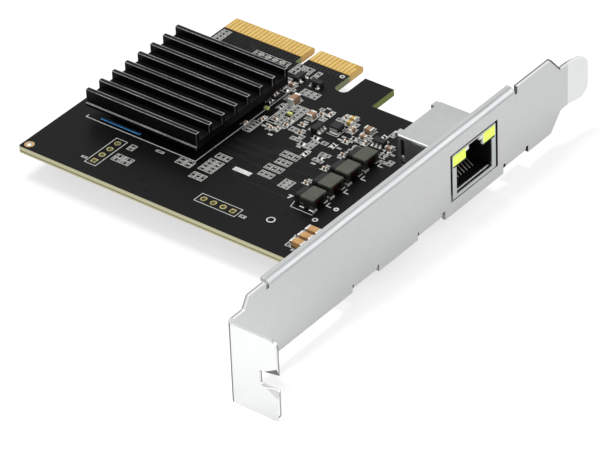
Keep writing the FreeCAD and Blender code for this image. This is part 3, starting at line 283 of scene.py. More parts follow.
# %% [markdown]
# The bare board is a laminate of glass cloth and resin, with dark lacquer on both
# faces. Where it was cut the laminate shows, pale yellow on the long sides, where
# the cloth's threads lie flat, and olive on the short ones, where their ends show.
# A sheet of copper inside the laminate leaves a dark line along the long cuts. The
# short cuts of the tongue are greyer, and sandy between the contacts. The tongue
# between its contacts has no lacquer either. One material does all of this: the
# direction of the surface says whether a spot is on a face or on a cut, and two
# band masks end the lacquer among the contacts, but not on the hook that stands
# beside them.

# %% board finish
TONGUE_BARE = -4.75
TONGUE_END = max(
    (nodes["edge_contacts_front"].matrix_world @ Vector(spot)).x
    for spot in nodes["edge_contacts_front"].bound_box) / MM + 0.9
lacquer = mottled_finish(
    "board_lacquer", (14, 14, 14), (9, 10, 10), 0.38, blotch=35.0, grain=1500.0, bump=0.06,
    bump_scale=1800.0, rounding=0.03, Specular_IOR_Level=0.07)
tree, shader = parts_of(lacquer)
layers = add(tree, "ShaderNodeTexWave", {
    "Vector": object_place(tree), "Scale": 620.0, "Distortion": 1.5, "Detail": 2.0,
}, bands_direction="Z").outputs["Fac"]
facing = add(tree, "ShaderNodeNewGeometry").outputs["Normal"]
side_x, _, side_z = add(tree, "ShaderNodeSeparateXYZ", {0: facing}).outputs
on_face = compute(tree, "GREATER_THAN", compute(tree, "ABSOLUTE", side_z), 0.85)
on_tongue = past(tree, "-X", -TONGUE_END)
long_side = mix(tree, layers, (222, 217, 184), (190, 187, 148))
long_side = mix(tree, past(tree, "-Z", 0.92, 0.08), long_side, (98, 94, 62))
long_side = mix(tree, past(tree, "-Z", 1.14, 0.08), long_side, (204, 196, 156))
short_side = mix(tree, layers, (118, 132, 70), (92, 106, 48))
tongue_side = mix(tree, past(tree, "+Y", TONGUE_BARE - 0.5, 1.0), (126, 132, 98), (204, 168, 104))
short_side = mix(tree, on_tongue, short_side, tongue_side)
cut = mix(tree, compute(tree, "ABSOLUTE", side_x), long_side, short_side)
between_contacts = both(tree, past(tree, "+Y", TONGUE_BARE), on_tongue)
face = mix(tree, between_contacts, source(shader, "Base Color"), (172, 138, 66))
feed(tree, shader.inputs["Base Color"], mix(tree, on_face, cut, face))
dress(lacquer, "circuit_board")
print("tongue ends at", round(TONGUE_END, 2), "mm")


# %% [markdown]
# Edge contacts are hard gold over nickel. Gold is a metal, so the tone is its
# reflection colour, and wiping marks from past insertions run along the tongue:
# the grain is stretched along Y to follow them. Tin and solder are duller and
# lumpier, so their grain is coarse and deep.

# %% gold and tin finishes
LUMPY = {"blotch": 700.0, "bump": 0.4, "bump_scale": 1500.0, "bump_height": 0.00006}
gold = mottled_finish(
    "contact_gold", (231, 201, 130), (208, 172, 96), 0.32, 1.0, blotch=300.0, bump=0.25,
    bump_scale=900.0, stretch=(4, 0.4, 1), rounding=0.02)
tin = mottled_finish("bright_tin", (240, 240, 236), (196, 196, 190), 0.3, 1.0, **LUMPY)
dull_tin = mottled_finish("dipped_tin", (128, 128, 124), (86, 86, 83), 0.4, 1.0, **LUMPY)
pad_plating = mottled_finish(
    "pad_plating", (206, 196, 146), (160, 146, 92), 0.4, 1.0, blotch=500.0, bump=0.2,
    bump_scale=1800.0, rounding=0.02)
dress(gold, "edge_contacts_front", "edge_contacts_back")
dress(pad_plating, "plated_pads")
dress(tin, "large_capacitor_ends", "small_part_ends", "inductor_terminals",
      "transistor_leads", "chip_leads")
dress(dull_tin, "choke_terminals")
print("metals on contacts, pads and terminals")


# %% [markdown]
# The bracket is folded from thin steel and nickel plated. Rolling leaves a very
# fine grain along its length, and the plating breaks the reflections into a soft
# satin. Punched walls are rough, and their tones are painted light and shade: dark
# in the middle of the plate, round the socket's opening, where shade falls, mid
# grey on the flange and below the socket, and bright on the screw tab, a painted
# highlight. A wall is where the surface looks sideways from the sheet, so the mask
# compares the normal with the sheet's own direction. That is X on the plate, Z on
# the flange and the ears, and Y on the screw tab. In a bend either of its two
# sheets' directions counts. The outer side of the screw tab's sharp fold, and the
# lead-in of the notch on the side that faces down, are painted dark, a painted
# reflection of the shade under the card. The long bend was dragged over a die,
# which left dull streaks along it. The tip of the tongue is painted lighter, a
# painted highlight, and so, a little, is the screw tab. Cuts that face up show
# how a punch leaves an edge. The upper cut past both ends of the flange has a
# bright strip where the punch slid in, at the front, and a dull strip behind it
# where the steel broke away. The walls of the screw tab have the same two strips.
# The rim of the slope down to the tongue is painted dark, a painted reflection.

# %% bracket finish: walls and folds
SIDEWAYS = 0.35
FACES_UP = 0.5
STILL_FLAT = 0.985
NECK = 89.6
PLATE_FRONT = max(
    spot.x / MM
    for spot in (nodes["bracket"].matrix_world @ v.co for v in nodes["bracket"].data.vertices)
    if -61 < spot.y / MM <= -1 and spot.z / MM > 4)
steel = mottled_finish(
    "plated_steel", (194, 195, 195), (185, 186, 186), 0.3, 1.0, blotch=25.0, grain=700.0,
    bump=0.16, bump_scale=1400.0, stretch=(1, 0.08, 1), rounding=0.1)
tree, shader = parts_of(steel)
facing = add(tree, "ShaderNodeNewGeometry").outputs["Normal"]
side_x, side_y, side_z = add(tree, "ShaderNodeSeparateXYZ", {0: facing}).outputs
size = compute(tree, "ABSOLUTE", facing, kind="ShaderNodeVectorMath")
across, upright, level = add(tree, "ShaderNodeSeparateXYZ", {0: size}).outputs


def below(value, limit):
    return compute(tree, "LESS_THAN", value, limit)


own = across
for way, start, direction in (
    ("+Z", 12.4, either(tree, across, level)),  # the long bend
    ("-X", -55.3, level),  # the flange and the ears
    ("-Y", 98.4, either(tree, across, upright)),  # the fold of the screw tab
    ("+X", 57.8, upright),  # the screw tab
):
    own = mix(tree, past(tree, way, start), own, direction, "FLOAT")
wall = both(tree, below(own, SIDEWAYS), below(side_z, FACES_UP))
turned = both(tree, below(side_x, -0.22), below(side_y, -0.1))
# painted shade: the outer side of the screw tab's fold and the down-facing lead-in of its notch
# are painted dark, a painted reflection of the shade under the card
fold = both(tree, past(tree, "-Y", 98.9), either(tree, turned, below(side_z, -0.12)))
print("front of the plate at", round(PLATE_FRONT, 2), "mm")

# %% bracket finish: tones
beside_flange = both(tree, past(tree, "+Y", -8.0), past(tree, "+Z", 8.5))
# painted shade: cut walls are painted dark round the socket's opening, mid grey elsewhere, and
# bright on the screw tab, a painted highlight
out_of_shade = either(tree, past(tree, "-Y", 30.0), past(tree, "+Z", 11.4), beside_flange)
wall_light_and_shade = mix(tree, out_of_shade, (34, 34, 35), (140, 141, 142))
wall_light_and_shade = mix(tree, past(tree, "-Y", 100.75), wall_light_and_shade, (222, 223, 223))
# painted highlight: the tongue's tip and the screw tab are painted lighter
painted_highlight = mix(tree, past(tree, "+Y", 12.85), source(shader, "Base Color"), (218, 219, 219))
painted_highlight = mix(tree, past(tree, "-Y", 99.6), painted_highlight, (202, 203, 203))
broken = mix(tree, below(side_y, 0.3), (72, 73, 74), (132, 133, 134))
broken = mix(tree, past(tree, "-Y", NECK), broken, (164, 165, 166))
punched = mix(tree, past(tree, "+X", PLATE_FRONT - 0.5), broken, (226, 227, 227))
beside_neck = both(tree, past(tree, "-Y", NECK), past(tree, "+Y", -99.6))
upper_cut = both(tree, either(tree, past(tree, "+Y", -5.6), beside_neck),
                 below(across, SIDEWAYS), compute(tree, "GREATER_THAN", side_z, FACES_UP))
# painted shade: a dark line along the rim of the slope down to the tongue, a painted reflection
slope_rim_shade = both(tree, past(tree, (0, 0.753, 0.658), 14.02, 0.14), past(tree, "+Z", 10.1))
drawn_out = compute(tree, "MULTIPLY", object_place(tree), (1, 0.05, 1),
                    kind="ShaderNodeVectorMath")
streak = both(tree, below(across, STILL_FLAT), below(level, STILL_FLAT), below(upright, 0.3),
              past(tree, "+Z", 11.2), noise(tree, drawn_out, 1800.0, 3.0))
tone = painted_highlight
for mask, change in ((wall, wall_light_and_shade), (upper_cut, punched), (slope_rim_shade, (66, 67, 68)),
                     (streak, (152, 153, 155)), (fold, (84, 85, 86))):
    tone = mix(tree, mask, tone, change)
feed(tree, shader.inputs["Base Color"], tone)
dress(steel, "bracket")
print("bracket dressed")


# %% [markdown]
# The screws' threads are too fine to model. A wave texture along the screw's axis
# feeds a bump, and a band mask keeps the ridges off the head.

# %% screw finish
PITCH = 0.5
screw_plating = mottled_finish(
    "screw_plating", (206, 206, 202), (170, 170, 166), 0.3, 1.0, blotch=400.0)
tree, shader = parts_of(screw_plating)
thread = add(tree, "ShaderNodeTexWave", {
    "Vector": object_place(tree), "Scale": 0.314 / (PITCH * MM)}, bands_direction="Z")
ridges = add(tree, "ShaderNodeBump", {
    "Strength": 0.8, "Distance": 0.0002, "Normal": source(shader, "Normal"),
    "Height": both(tree, thread.outputs["Fac"], past(tree, "-Z", 1.9, 0.3))})
feed(tree, shader.inputs["Normal"], ridges.outputs["Normal"])
dress(screw_plating, "bracket_screws")
print("screws dressed")


# %% [markdown]
# The socket's shell is thin plated brass with a satin gloss, so its side takes a
# little of the dark board's tone. Inside it is a black moulding.

# %% socket finishes
shell = mottled_finish(
    "socket_shell", (187, 190, 189), (176, 180, 179), 0.34, 1.0, blotch=120.0, bump=0.03,
    bump_scale=700.0)
moulding = mottled_finish(
    "socket_moulding", (14, 14, 14), (7, 7, 7), 0.45, blotch=200.0, bump=0.2,
    bump_scale=2200.0, Specular_IOR_Level=0.3)
dress(shell, "jack_shield")
dress(moulding, "jack_housing")
print("socket dressed")


# %% [markdown]
# The remaining solids are moulded, ceramic or soft. Each gets its own tones. The
# numbers are the colours that such parts have under plain white light, except where
# a comment below says a tone is painted light or shade.

# %% finishes for the small solids
TONES = {
    "chip_resin": (("controller_chip",), (38, 38, 39), (26, 26, 27), 0.5),
    "heat_film": (("thermal_pad",), (196, 198, 200), (180, 182, 186), 0.8),
    # the strip's bright blue is a painted highlight; it goes only on its edge that faces the light
    "blue_strip_painted_lit": (("board_gap_pad",), (96, 184, 250), (70, 150, 226), 0.6),
    "inductor_resin": (("power_inductor",), (30, 28, 33), (20, 19, 23), 0.4),
    "orange_ceramic": (("large_capacitor_",), (198, 156, 104), (166, 124, 76), 0.42),
    "tan_ceramic": (("tan_capacitor_", "small_capacitors"), (168, 134, 106), (118, 90, 68), 0.5),
    "gold_ceramic": (("gold_capacitors",), (204, 172, 104), (170, 134, 66), 0.5),
    "resistor_glaze": (("small_resistors",), (30, 30, 31), (20, 20, 21), 0.3),
    "package_resin": (("transistor_1", "transistor_2", "regulator_chip", "line_guard_chip"),
                      (34, 33, 33), (23, 22, 22), 0.5),
    "ferrite": (("choke_core_",), (44, 44, 40), (30, 30, 28), 0.6),
    "choke_plate_resin": (("choke_plate_",), (82, 83, 74), (69, 70, 62), 0.6),
    "board_light_resin": (("board_light_",), (202, 208, 138), (172, 182, 98), 0.3),
}
finishes = {}
for name, (starts, light, dark, roughness) in TONES.items():
    finishes[name] = mottled_finish(
        name, light, dark, roughness, blotch=600.0, bump=0.25, Specular_IOR_Level=0.2)
    dress(finishes[name], *(node_name for node_name in nodes if node_name.startswith(starts)
                            and not node_name.endswith("_ends")))
anodised = mottled_finish(
    "black_anodise", (9, 9, 10), (4, 4, 5), 0.42, blotch=120.0, bump=0.2, bump_scale=1600.0,
    Specular_IOR_Level=0.09)
# the heatsink's edge tone: partly worn anodise, mostly a painted highlight
worn_edge_highlight = mottled_finish(
    "worn_anodise_edge_highlight", (176, 176, 178), (96, 96, 98), 0.35, 0.9, blotch=260.0, grain=1300.0)
enamel = mottled_finish("red_enamel", (96, 22, 20), (48, 10, 10), 0.25, 0.5, blotch=900.0)
# the socket's contacts: a darkened silver, partly their plating's tone and partly painted shade of
# the socket's cavity
pin_silver_shaded = mottled_finish(
    "socket_contact_plating_shaded", (128, 127, 122), (84, 83, 79), 0.35, 1.0, blotch=900.0)
# the strip's dark blue sides: painted shade
strip_painted_shade = mottled_finish("blue_strip_painted_shade", (24, 62, 96), (14, 42, 70), 0.7, blotch=700.0)
print("finishes:", len(bpy.data.materials))


# %% [markdown]
# Everything that is added below is built from a few shapes: flat slabs, ribbons
# that follow a line, rings, collars and blocks with sloping sides. Each adds its
# faces to a bmesh, in millimetres, and finish_piece turns the bmesh into an
# object that rides on the card's one body. Making the shapes from real faces,
# rather than from a bump, gives them edges that catch the light at any angle.

# %% mesh helpers: slabs and rings
def add_loop(bm, points, height):
    """A loop of vertices at one height, in millimetres."""
    return [bm.verts.new((x * MM, y * MM, height * MM)) for x, y in points]


def add_walls(bm, first, second):
    """Faces between two loops that have the same number of vertices."""
    for index, start in enumerate(first):
        after = (index + 1) % len(first)
        bm.faces.new((start, first[after], second[after], second[index]))


def add_slab(bm, outline, low, high, shrink=0.0):
    """A flat prism over a convex outline. Its top can be smaller all round."""
    middle = [sum(values) / len(outline) for values in zip(*outline)]
    smaller = [[value + math.copysign(min(shrink, abs(value - centre)), centre - value)
                for value, centre in zip(point, middle)] for point in outline]
    bottom, top = add_loop(bm, outline, low), add_loop(bm, smaller, high)
    bm.faces.new(top)
    bm.faces.new(bottom[::-1])
    add_walls(bm, bottom, top)


def rectangle(low_x, low_y, high_x, high_y):
    return [(low_x, low_y), (high_x, low_y), (high_x, high_y), (low_x, high_y)]


def add_block(bm, low, high, shrink=0.0):
    """A box between two corners, or a frustum if its top shrinks."""
    add_slab(bm, rectangle(*low[:2], *high[:2]), low[2], high[2], shrink)


def circle(x, y, radius, sides, square=False):
    """Points round a circle, or where the same angles meet a square."""
    turns = [Vector((math.cos(angle), math.sin(angle)))
             for angle in (math.tau * step / sides for step in range(sides))]
    if square:
        turns = [turn / max(abs(turn.x), abs(turn.y)) for turn in turns]
    return [(x + radius * turn.x, y + radius * turn.y) for turn in turns]


def add_disc(bm, x, y, radius, low, high, sides=14, shrink=0.0):
    add_slab(bm, circle(x, y, radius, sides), low, high, shrink)


def add_collar(bm, outer, inner, low, high):
    """A flat collar between two outlines that have the same number of points."""
    loops = [add_loop(bm, points, height) for points, height in (
        (inner, low), (outer, low), (outer, high), (inner, high))]
    for first, second in zip(loops, loops[1:] + loops[:1]):
        add_walls(bm, first, second)


def add_ring(bm, x, y, inner, outer, low, high, sides=18):
    add_collar(bm, circle(x, y, outer, sides), circle(x, y, inner, sides), low, high)


print("slabs and rings ready")


# %% mesh helper: ribbons
def add_ribbon(bm, points, width, low, high, closed=False):
    """A flat line of one width through the points, with mitred corners."""
    spots = [Vector(point) for point in points]
    rows = []
    for index, here in enumerate(spots):
        ways = []
        if closed or index > 0:
            ways.append((here - spots[index - 1]).normalized())
        if closed or index + 1 < len(spots):
            ways.append((spots[(index + 1) % len(spots)] - here).normalized())
        across = [Vector((-way.y, way.x)) for way in ways]
        mitre = sum(across, Vector((0, 0))).normalized()
        reach = width / 2 / mitre.dot(across[0])
        rows.append([
            bm.verts.new((here + mitre * offset).to_3d() * MM + Vector((0, 0, height * MM)))
            for offset, height in ((reach, high), (-reach, high), (-reach, low), (reach, low))])
    for start, stop in zip(rows, rows[1:]):
        add_walls(bm, start, stop)
    if closed:
        add_walls(bm, rows[-1], rows[0])
    else:
        bm.faces.new(rows[0])
        bm.faces.new(rows[-1][::-1])


print("ribbons ready")


# %% mesh helper: from bmesh to a piece of the card
def into_scene(name, data):
    thing = bpy.data.objects.new(name, data)
    bpy.context.scene.collection.objects.link(thing)
    return thing


def finish_piece(bm, name, slot, *materials):
    """Makes the object, gives it its materials and ties it to the card."""
    bmesh.ops.recalc_face_normals(bm, faces=bm.faces)
    mesh = bpy.data.meshes.new(name)
    bm.to_mesh(mesh)
    bm.free()
    for material in materials:
        mesh.materials.append(material)
    piece = into_scene(name, mesh)
    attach(piece, "root")
    print(name, len(mesh.polygons), "faces")
    return piece


print("pieces ready")


# %% mesh helper: the separate solids of a node
def solid_boxes(node_name):
    """The lowest and highest corner of each separate solid of a node, in millimetres."""
    bm = bmesh.new()
    bm.from_mesh(nodes[node_name].data)
    bmesh.ops.remove_doubles(bm, verts=bm.verts, dist=0.001 * MM)
    seen = set()
    boxes = []
    for first in bm.verts:
        if first in seen:
            continue
        seen.add(first)
        queue = [first]
        spots = []
        while queue:
            vertex = queue.pop()
            spots.append(vertex.co / MM)
            fresh = {edge.other_vert(vertex) for edge in vertex.link_edges} - seen
            seen |= fresh
            queue += fresh
        boxes.append(tuple(tuple(pick(values) for values in zip(*spots)) for pick in (min, max)))
    bm.free()
    return boxes


def node_box(name):
    """A node's lowest and highest corner in millimetres."""
    return tuple(tuple(value / MM for value in corner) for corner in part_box(name))


def middle_of(box):
    return [(low + high) / 2 for low, high in zip(*box)]


sink_low, sink_high = node_box("heatsink")
choke_plates = [node_box("choke_plate_" + str(index)) for index in range(1, 5)]
print("boxes in small_part_ends:", len(solid_boxes("small_part_ends")))


# %% [markdown]
# A CAD box has perfectly sharp edges, and nothing real does. softened() copies a
# node's mesh, joins its triangles back into flat faces and bevels every sharp
# edge. The copy stands for the node, which stays in the scene, hidden. The strip
# that the bevel makes can have a finish of its own. On the heatsink that is a light
# metal tone, partly worn anodise and mostly a painted highlight. It stays on the fin
# tops, the fin ends and the near ledge, where light reaches them, and not on the
# edges of the base between the fins, which lie in their shade and stay black. On
# the fin tops the painted highlight is wider than the bevel, so a knife cut splits
# a margin off each top face for it.

# %% helper: softened copies of solids
def clean_copy(node_name):
    """A copy of a node's mesh, with its triangles joined back into flat faces."""
    bm = bmesh.new()
    bm.from_mesh(nodes[node_name].data)
    bmesh.ops.remove_doubles(bm, verts=bm.verts, dist=0.0005 * MM)
    bmesh.ops.dissolve_limit(bm, angle_limit=math.radians(1), verts=bm.verts, edges=bm.edges)
    for face in bm.faces:
        face.material_index = 0
    return bm


def softened(node_name, radius, slot, material, edge_material=None, segments=2):
    bm = clean_copy(node_name)
    sharp = [edge for edge in bm.edges
             if len(edge.link_faces) == 2 and edge.calc_face_angle(0) > math.radians(40)]
    bmesh.ops.bevel(
        bm, geom=sharp, offset=radius * MM, offset_type="OFFSET", segments=segments,
        profile=0.5, affect="EDGES", clamp_overlap=True,
        material=1 if edge_material else -1,
    )
    materials = [material] + ([edge_material] if edge_material else [])
    piece = finish_piece(bm, node_name + "_softened", slot, *materials)
    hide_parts(node_name)
    return piece


sink = softened("heatsink", 0.09, "heatsink_black", anodised, worn_edge_highlight, segments=1).data

# %% keep the painted edge highlight only where light reaches the edges
for face in sink.polygons:
    heights = [sink.vertices[index].co.z / MM for index in face.vertices]
    in_fin_shade = max(heights) < sink_high[2] - 0.5 and max(heights) - min(heights) < 1.0
    if in_fin_shade and face.center.y / MM > sink_low[1] + 0.6:
        face.material_index = 0
print("rubbed faces:", sum(face.material_index for face in sink.polygons))

# %% paint a highlight on the far margin of each fin's top
GLINT_MARGIN = 0.16


def fin_tops(bm):
    return [face for face in bm.faces if face.normal.z > 0.99
            and face.calc_center_median().z / MM > sink_high[2] - 0.1]


bm = bmesh.new()
bm.from_mesh(sink)
for top in fin_tops(bm):
    far = max(vert.co.y for vert in top.verts)
    bmesh.ops.bisect_plane(
        bm, geom=[top] + top.edges[:] + top.verts[:],
        plane_co=(0, far - GLINT_MARGIN * MM, 0), plane_no=(0, 1, 0),
    )
glint_margins = [face for face in fin_tops(bm)
           if max(v.co.y for v in face.verts) - min(v.co.y for v in face.verts)
           < (GLINT_MARGIN + 0.01) * MM]
for face in glint_margins:
    face.material_index = 1
bm.to_mesh(sink)
bm.free()
print("rubbed fin margins:", len(glint_margins))

# %% soften the moulded and ceramic parts
SOFT_PARTS = (
    (("large_capacitor_",), 0.08, "orange_ceramic", "orange_ceramic"),
    (("tan_capacitor_",), 0.08, "tan_ceramic", "tan_ceramic"),
    (("gold_capacitors",), 0.05, "gold_ceramic", "gold_ceramic"),
    (("small_capacitors",), 0.05, "tan_ceramic", "tan_ceramic"),
    (("small_resistors",), 0.03, "resistor_body", "resistor_glaze"),
    (("power_inductor",), 0.18, "inductor_body", "inductor_resin"),
    (("transistor_1", "transistor_2", "regulator_chip", "line_guard_chip"), 0.1,
     "transistor_case", "package_resin"),
    (("choke_plate_",), 0.12, "choke_top", "choke_plate_resin"),
    (("choke_core_",), 0.1, "ferrite", "ferrite"),
    (("board_light_",), 0.1, "board_light", "board_light_resin"),
)
for starts, radius, slot, finish_name in SOFT_PARTS:
    for node_name in nodes:
        if node_name.startswith(starts) and not node_name.endswith("_ends"):
            softened(node_name, radius, slot, finishes[finish_name])
softened("large_capacitor_ends", 0.1, "tinned_ends", tin)
softened("small_part_ends", 0.06, "tinned_ends", tin)
softened("jack_contacts", 0.1, "socket_contacts", pin_silver_shaded)
# the blue strip in two tones: bright blue on the bevel that faces up and to the front, a painted
# highlight, and dark blue elsewhere, painted shade
strip = softened("board_gap_pad", 0.14, "gap_pad_soft", finishes["blue_strip_painted_lit"], strip_painted_shade)
for face in strip.data.polygons:
    lit_edge = 0.3 < face.normal.z < 0.95 and face.normal.y < 0
    face.material_index = 0 if lit_edge else 1
print("softened copies made")


# %% [markdown]
# A line choke is a small ferrite drum wound with enamelled wire. The CAD node is
# a plain tube of the winding's outer size. Here it becomes real turns: one curve
# runs round the bar many times, on a rounded square, and moves on by one wire's
# thickness each turn. A superellipse gives that rounded square with one formula,
# so no corner points have to be listed.

# %% choke windings
WIRE = 0.26
STEPS_A_TURN = 20


def squarish(angle, half, power=0.45):
    """One coordinate of a rounded square, from a cosine or a sine."""
    value = math.cos(angle)
    return half * math.copysign(abs(value) ** power, value)


def wind_choke(index):
    node_name = "choke_winding_" + str(index)
    low, high = node_box(node_name)
    middle_x, _, middle_z = middle_of((low, high))
    size_x, travel, size_z = (top - bottom - WIRE for bottom, top in zip(low, high))
    turns = int((high[1] - low[1]) / WIRE)
    count = turns * STEPS_A_TURN
    shape = bpy.data.curves.new("choke_turns_" + str(index), "CURVE")
    shape.dimensions = "3D"
    shape.bevel_depth = WIRE / 2 * MM
    shape.bevel_resolution = 1
    wire = shape.splines.new("POLY")
    wire.points.add(count - 1)
    for step in range(count):
        angle = 2 * math.pi * step / STEPS_A_TURN
        x = middle_x + squarish(angle, size_x / 2)
        z = middle_z + squarish(angle - math.pi / 2, size_z / 2)
        y = low[1] + WIRE / 2 + travel * step / (count - 1)
        wire.points[step].co = (x * MM, y * MM, z * MM, 1)
    shape.materials.append(enamel)
    coil = into_scene(shape.name, shape)
    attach(coil, "root")
    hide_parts(node_name)
    return turns


print("turns on each choke:", [wind_choke(index) for index in range(1, 5)])


# %% [markdown]
# Solder climbs the metal ends of every part and runs out to the edge of its pad.
# The helper looks at each metal end as a box, finds the side where the part's
# body is, and builds a pad and a sloping fillet round the other three sides. The
# ends and bodies come from the CAD nodes, so every part gets its solder without
# being listed.

# %% pads and solder under the chip parts
INK_TOP = 0.03
PAD_REACH = 0.22
SOLDER_REACH = 0.17
bodies = []
for node_name in nodes:
    if node_name.startswith(("large_capacitor_", "tan_capacitor_")) and "ends" not in node_name:
        bodies += solid_boxes(node_name)
for node_name in ("gold_capacitors", "small_capacitors", "small_resistors"):
    bodies += solid_boxes(node_name)


def way_from_body(end):
    """The direction, along X or Y, from the nearest body to a metal end."""
    x, y, _ = middle_of(end)
    near = min((middle_of(box)[:2] for box in bodies), key=lambda spot: math.dist((x, y), spot))
    step_x, step_y = x - near[0], y - near[1]
    if abs(step_x) > abs(step_y):
        return (math.copysign(1, step_x), 0)
    return (0, math.copysign(1, step_y))


def spread_box(box, way, reach):
    """The box made larger on every side except the one that meets the body."""
    low, high = list(box[0]), list(box[1])
    for axis in (0, 1):
        if way[axis] <= 0:
            low[axis] -= reach
        if way[axis] >= 0:
            high[axis] += reach
    return low, high


def add_foot(pads, solder, box, way, reaches, climb, shrink):
    """A pad and, on it, a sloping fillet of solder, round a box of metal."""
    for bm, reach, bottom, top, slope in (
            (pads, reaches[0], 0.0, INK_TOP, 0.0), (solder, reaches[1], INK_TOP, climb, shrink)):
        low, high = spread_box(box, way, reach)
        add_block(bm, (*low[:2], bottom), (*high[:2], top), slope)


pads, solder = bmesh.new(), bmesh.new()
ends = solid_boxes("small_part_ends") + solid_boxes("large_capacitor_ends")
for end in ends:
    add_foot(pads, solder, end, way_from_body(end), (PAD_REACH, SOLDER_REACH),
             climb=min(0.65 * end[1][2], 0.6), shrink=0.16)
finish_piece(pads, "part_pads", "tinned_ends", tin)
finish_piece(solder, "part_solder", "tinned_ends", tin)
print("soldered ends:", len(ends))

# %% pads and solder under the leads and terminals
pads, solder = bmesh.new(), bmesh.new()
for node_name in ("transistor_leads", "chip_leads", "choke_terminals", "inductor_terminals"):
    for box in solid_boxes(node_name):
        add_foot(pads, solder, box, (0, 0), (0.12, 0.1), climb=0.22, shrink=0.09)
finish_piece(pads, "lead_pads", "tinned_ends", tin)
finish_piece(solder, "lead_solder", "tinned_ends", tin)


# %% [markdown]
# White ink on the board outlines where each part sits. It's screen printed, so it
# stands a hair above the lacquer, with soft, slightly broken tone. Outlines are
# ribbons and marks are thin slabs, laid out from the places of the parts they
# belong to. The tracks below use the same ribbons: lacquer over copper is a touch
# lighter than lacquer over laminate, and stands a little higher.

# %% ink and track finishes
ink = mottled_finish(
    "white_ink", (216, 216, 212), (160, 161, 158), 0.6, blotch=900.0, grain=4000.0)
track = mottled_finish(
    "lacquer_over_copper", (28, 30, 30), (19, 22, 22), 0.36, blotch=200.0, bump=0.06,
    Specular_IOR_Level=0.12)
tented = mottled_finish(
    "lacquer_over_via", (16, 17, 17), (10, 11, 11), 0.38, blotch=200.0,
    Specular_IOR_Level=0.07)
copper = mottled_finish(
    "bare_copper_gilt", (206, 176, 132), (172, 138, 98), 0.35, 1.0, blotch=500.0)
pad_tin = mottled_finish(
    "faded_pad_tin", (190, 189, 184), (124, 123, 118), 0.42, 1.0, blotch=1400.0)
hole_dark = mottled_finish("hole_shade", (20, 18, 15), (10, 9, 8), 0.7, blotch=800.0)
solder_z = node_box("circuit_board")[0][2]
print("solder side at", round(solder_z, 2), "mm")


# %% outlines round the small parts
INK_LINE = 0.16
print_bm = bmesh.new()


def ink_frame(*corners, width=INK_LINE):
    add_ribbon(print_bm, rectangle(*corners), width, 0.0, INK_TOP, True)


def ink_line(*points, width=INK_LINE):
    add_ribbon(print_bm, points, width, 0.0, INK_TOP)


def add_patch(bm, low_x, low_y, high_x, high_y):
    """A flat patch as thick as the ink."""
    add_block(bm, (low_x, low_y, 0.0), (high_x, high_y, INK_TOP))


for box in bodies:
    x, y, _ = middle_of(box)
    size_x, size_y = box[1][0] - box[0][0], box[1][1] - box[0][1]
    near_ends = [end for end in ends if math.dist(middle_of(end)[:2], (x, y)) < 1.9]
    along_x = any(abs(middle_of(end)[1] - y) < 0.05 for end in near_ends)
    reach = max(size_x, size_y) / 2 + 0.75
    gap = (size_y if along_x else size_x) / 2 + 0.34
    for side in (-gap, gap):
        if along_x:
            ink_line((x - reach, y + side), (x + reach, y + side))
        else:
            ink_line((x + side, y - reach), (x + side, y + reach))
print("outlined parts:", len(bodies))


# %% [markdown]
# A board is laid out for more parts than any one version carries, so it has empty
# footprints: an outline with two tinned pads in it. They lie in blocks. The table
# gives each block's two corners and how many columns and rows fill it. A cell
# that would touch a part that is there is left out, so the table can be loose.

# %% empty footprints
spare_pads = bmesh.new()
LOW_PARTS = ("capacitor", "resistors", "small_part_ends", "transistor", "chip_leads",
             "regulator", "line_guard", "inductor", "choke", "board_light", "heatsink",
             "jack_shield", "plated_pads", "bracket")
CLEARANCE = 0.12
taken = [box for name in nodes if any(word in name for word in LOW_PARTS)
         for box in solid_boxes(name)]


def is_free(low_x, low_y, high_x, high_y, margin=CLEARANCE):
    return not any(
        low[0] - margin < high_x and high[0] + margin > low_x
        and low[1] - margin < high_y and high[1] + margin > low_y for low, high in taken)


def footprint(x, y, length, width):
    """An empty place for a two-ended part, lying along its longer side."""
    ink_frame(x - length / 2, y - width / 2, x + length / 2, y + width / 2, width=0.13)
    halves, shift = (max(length, width) * 0.12, min(length, width) * 0.28), (0.26, 0)
    if length <= width:
        halves, shift = halves[::-1], shift[::-1]
    for side in (-max(length, width), max(length, width)):
        pad_x, pad_y = x + side * shift[0], y + side * shift[1]
        add_patch(spare_pads, pad_x - halves[0], pad_y - halves[1],
                  pad_x + halves[0], pad_y + halves[1])


def footprint_block(low_x, low_y, high_x, high_y, columns, rows):
    """Fills a block with footprints and returns how many fitted."""
    step_x, step_y = (high_x - low_x) / columns, (high_y - low_y) / rows
    half_x, half_y = step_x / 2 - CLEARANCE, step_y / 2 - CLEARANCE
    made = 0
    for column in range(columns):
        for row in range(rows):
            x, y = low_x + (column + 0.5) * step_x, low_y + (row + 0.5) * step_y
            if is_free(x - half_x, y - half_y, x + half_x, y + half_y):
                footprint(x, y, 2 * half_x, 2 * half_y)
                made += 1
    taken.append(((low_x, low_y, 0), (high_x, high_y, INK_TOP)))
    return made


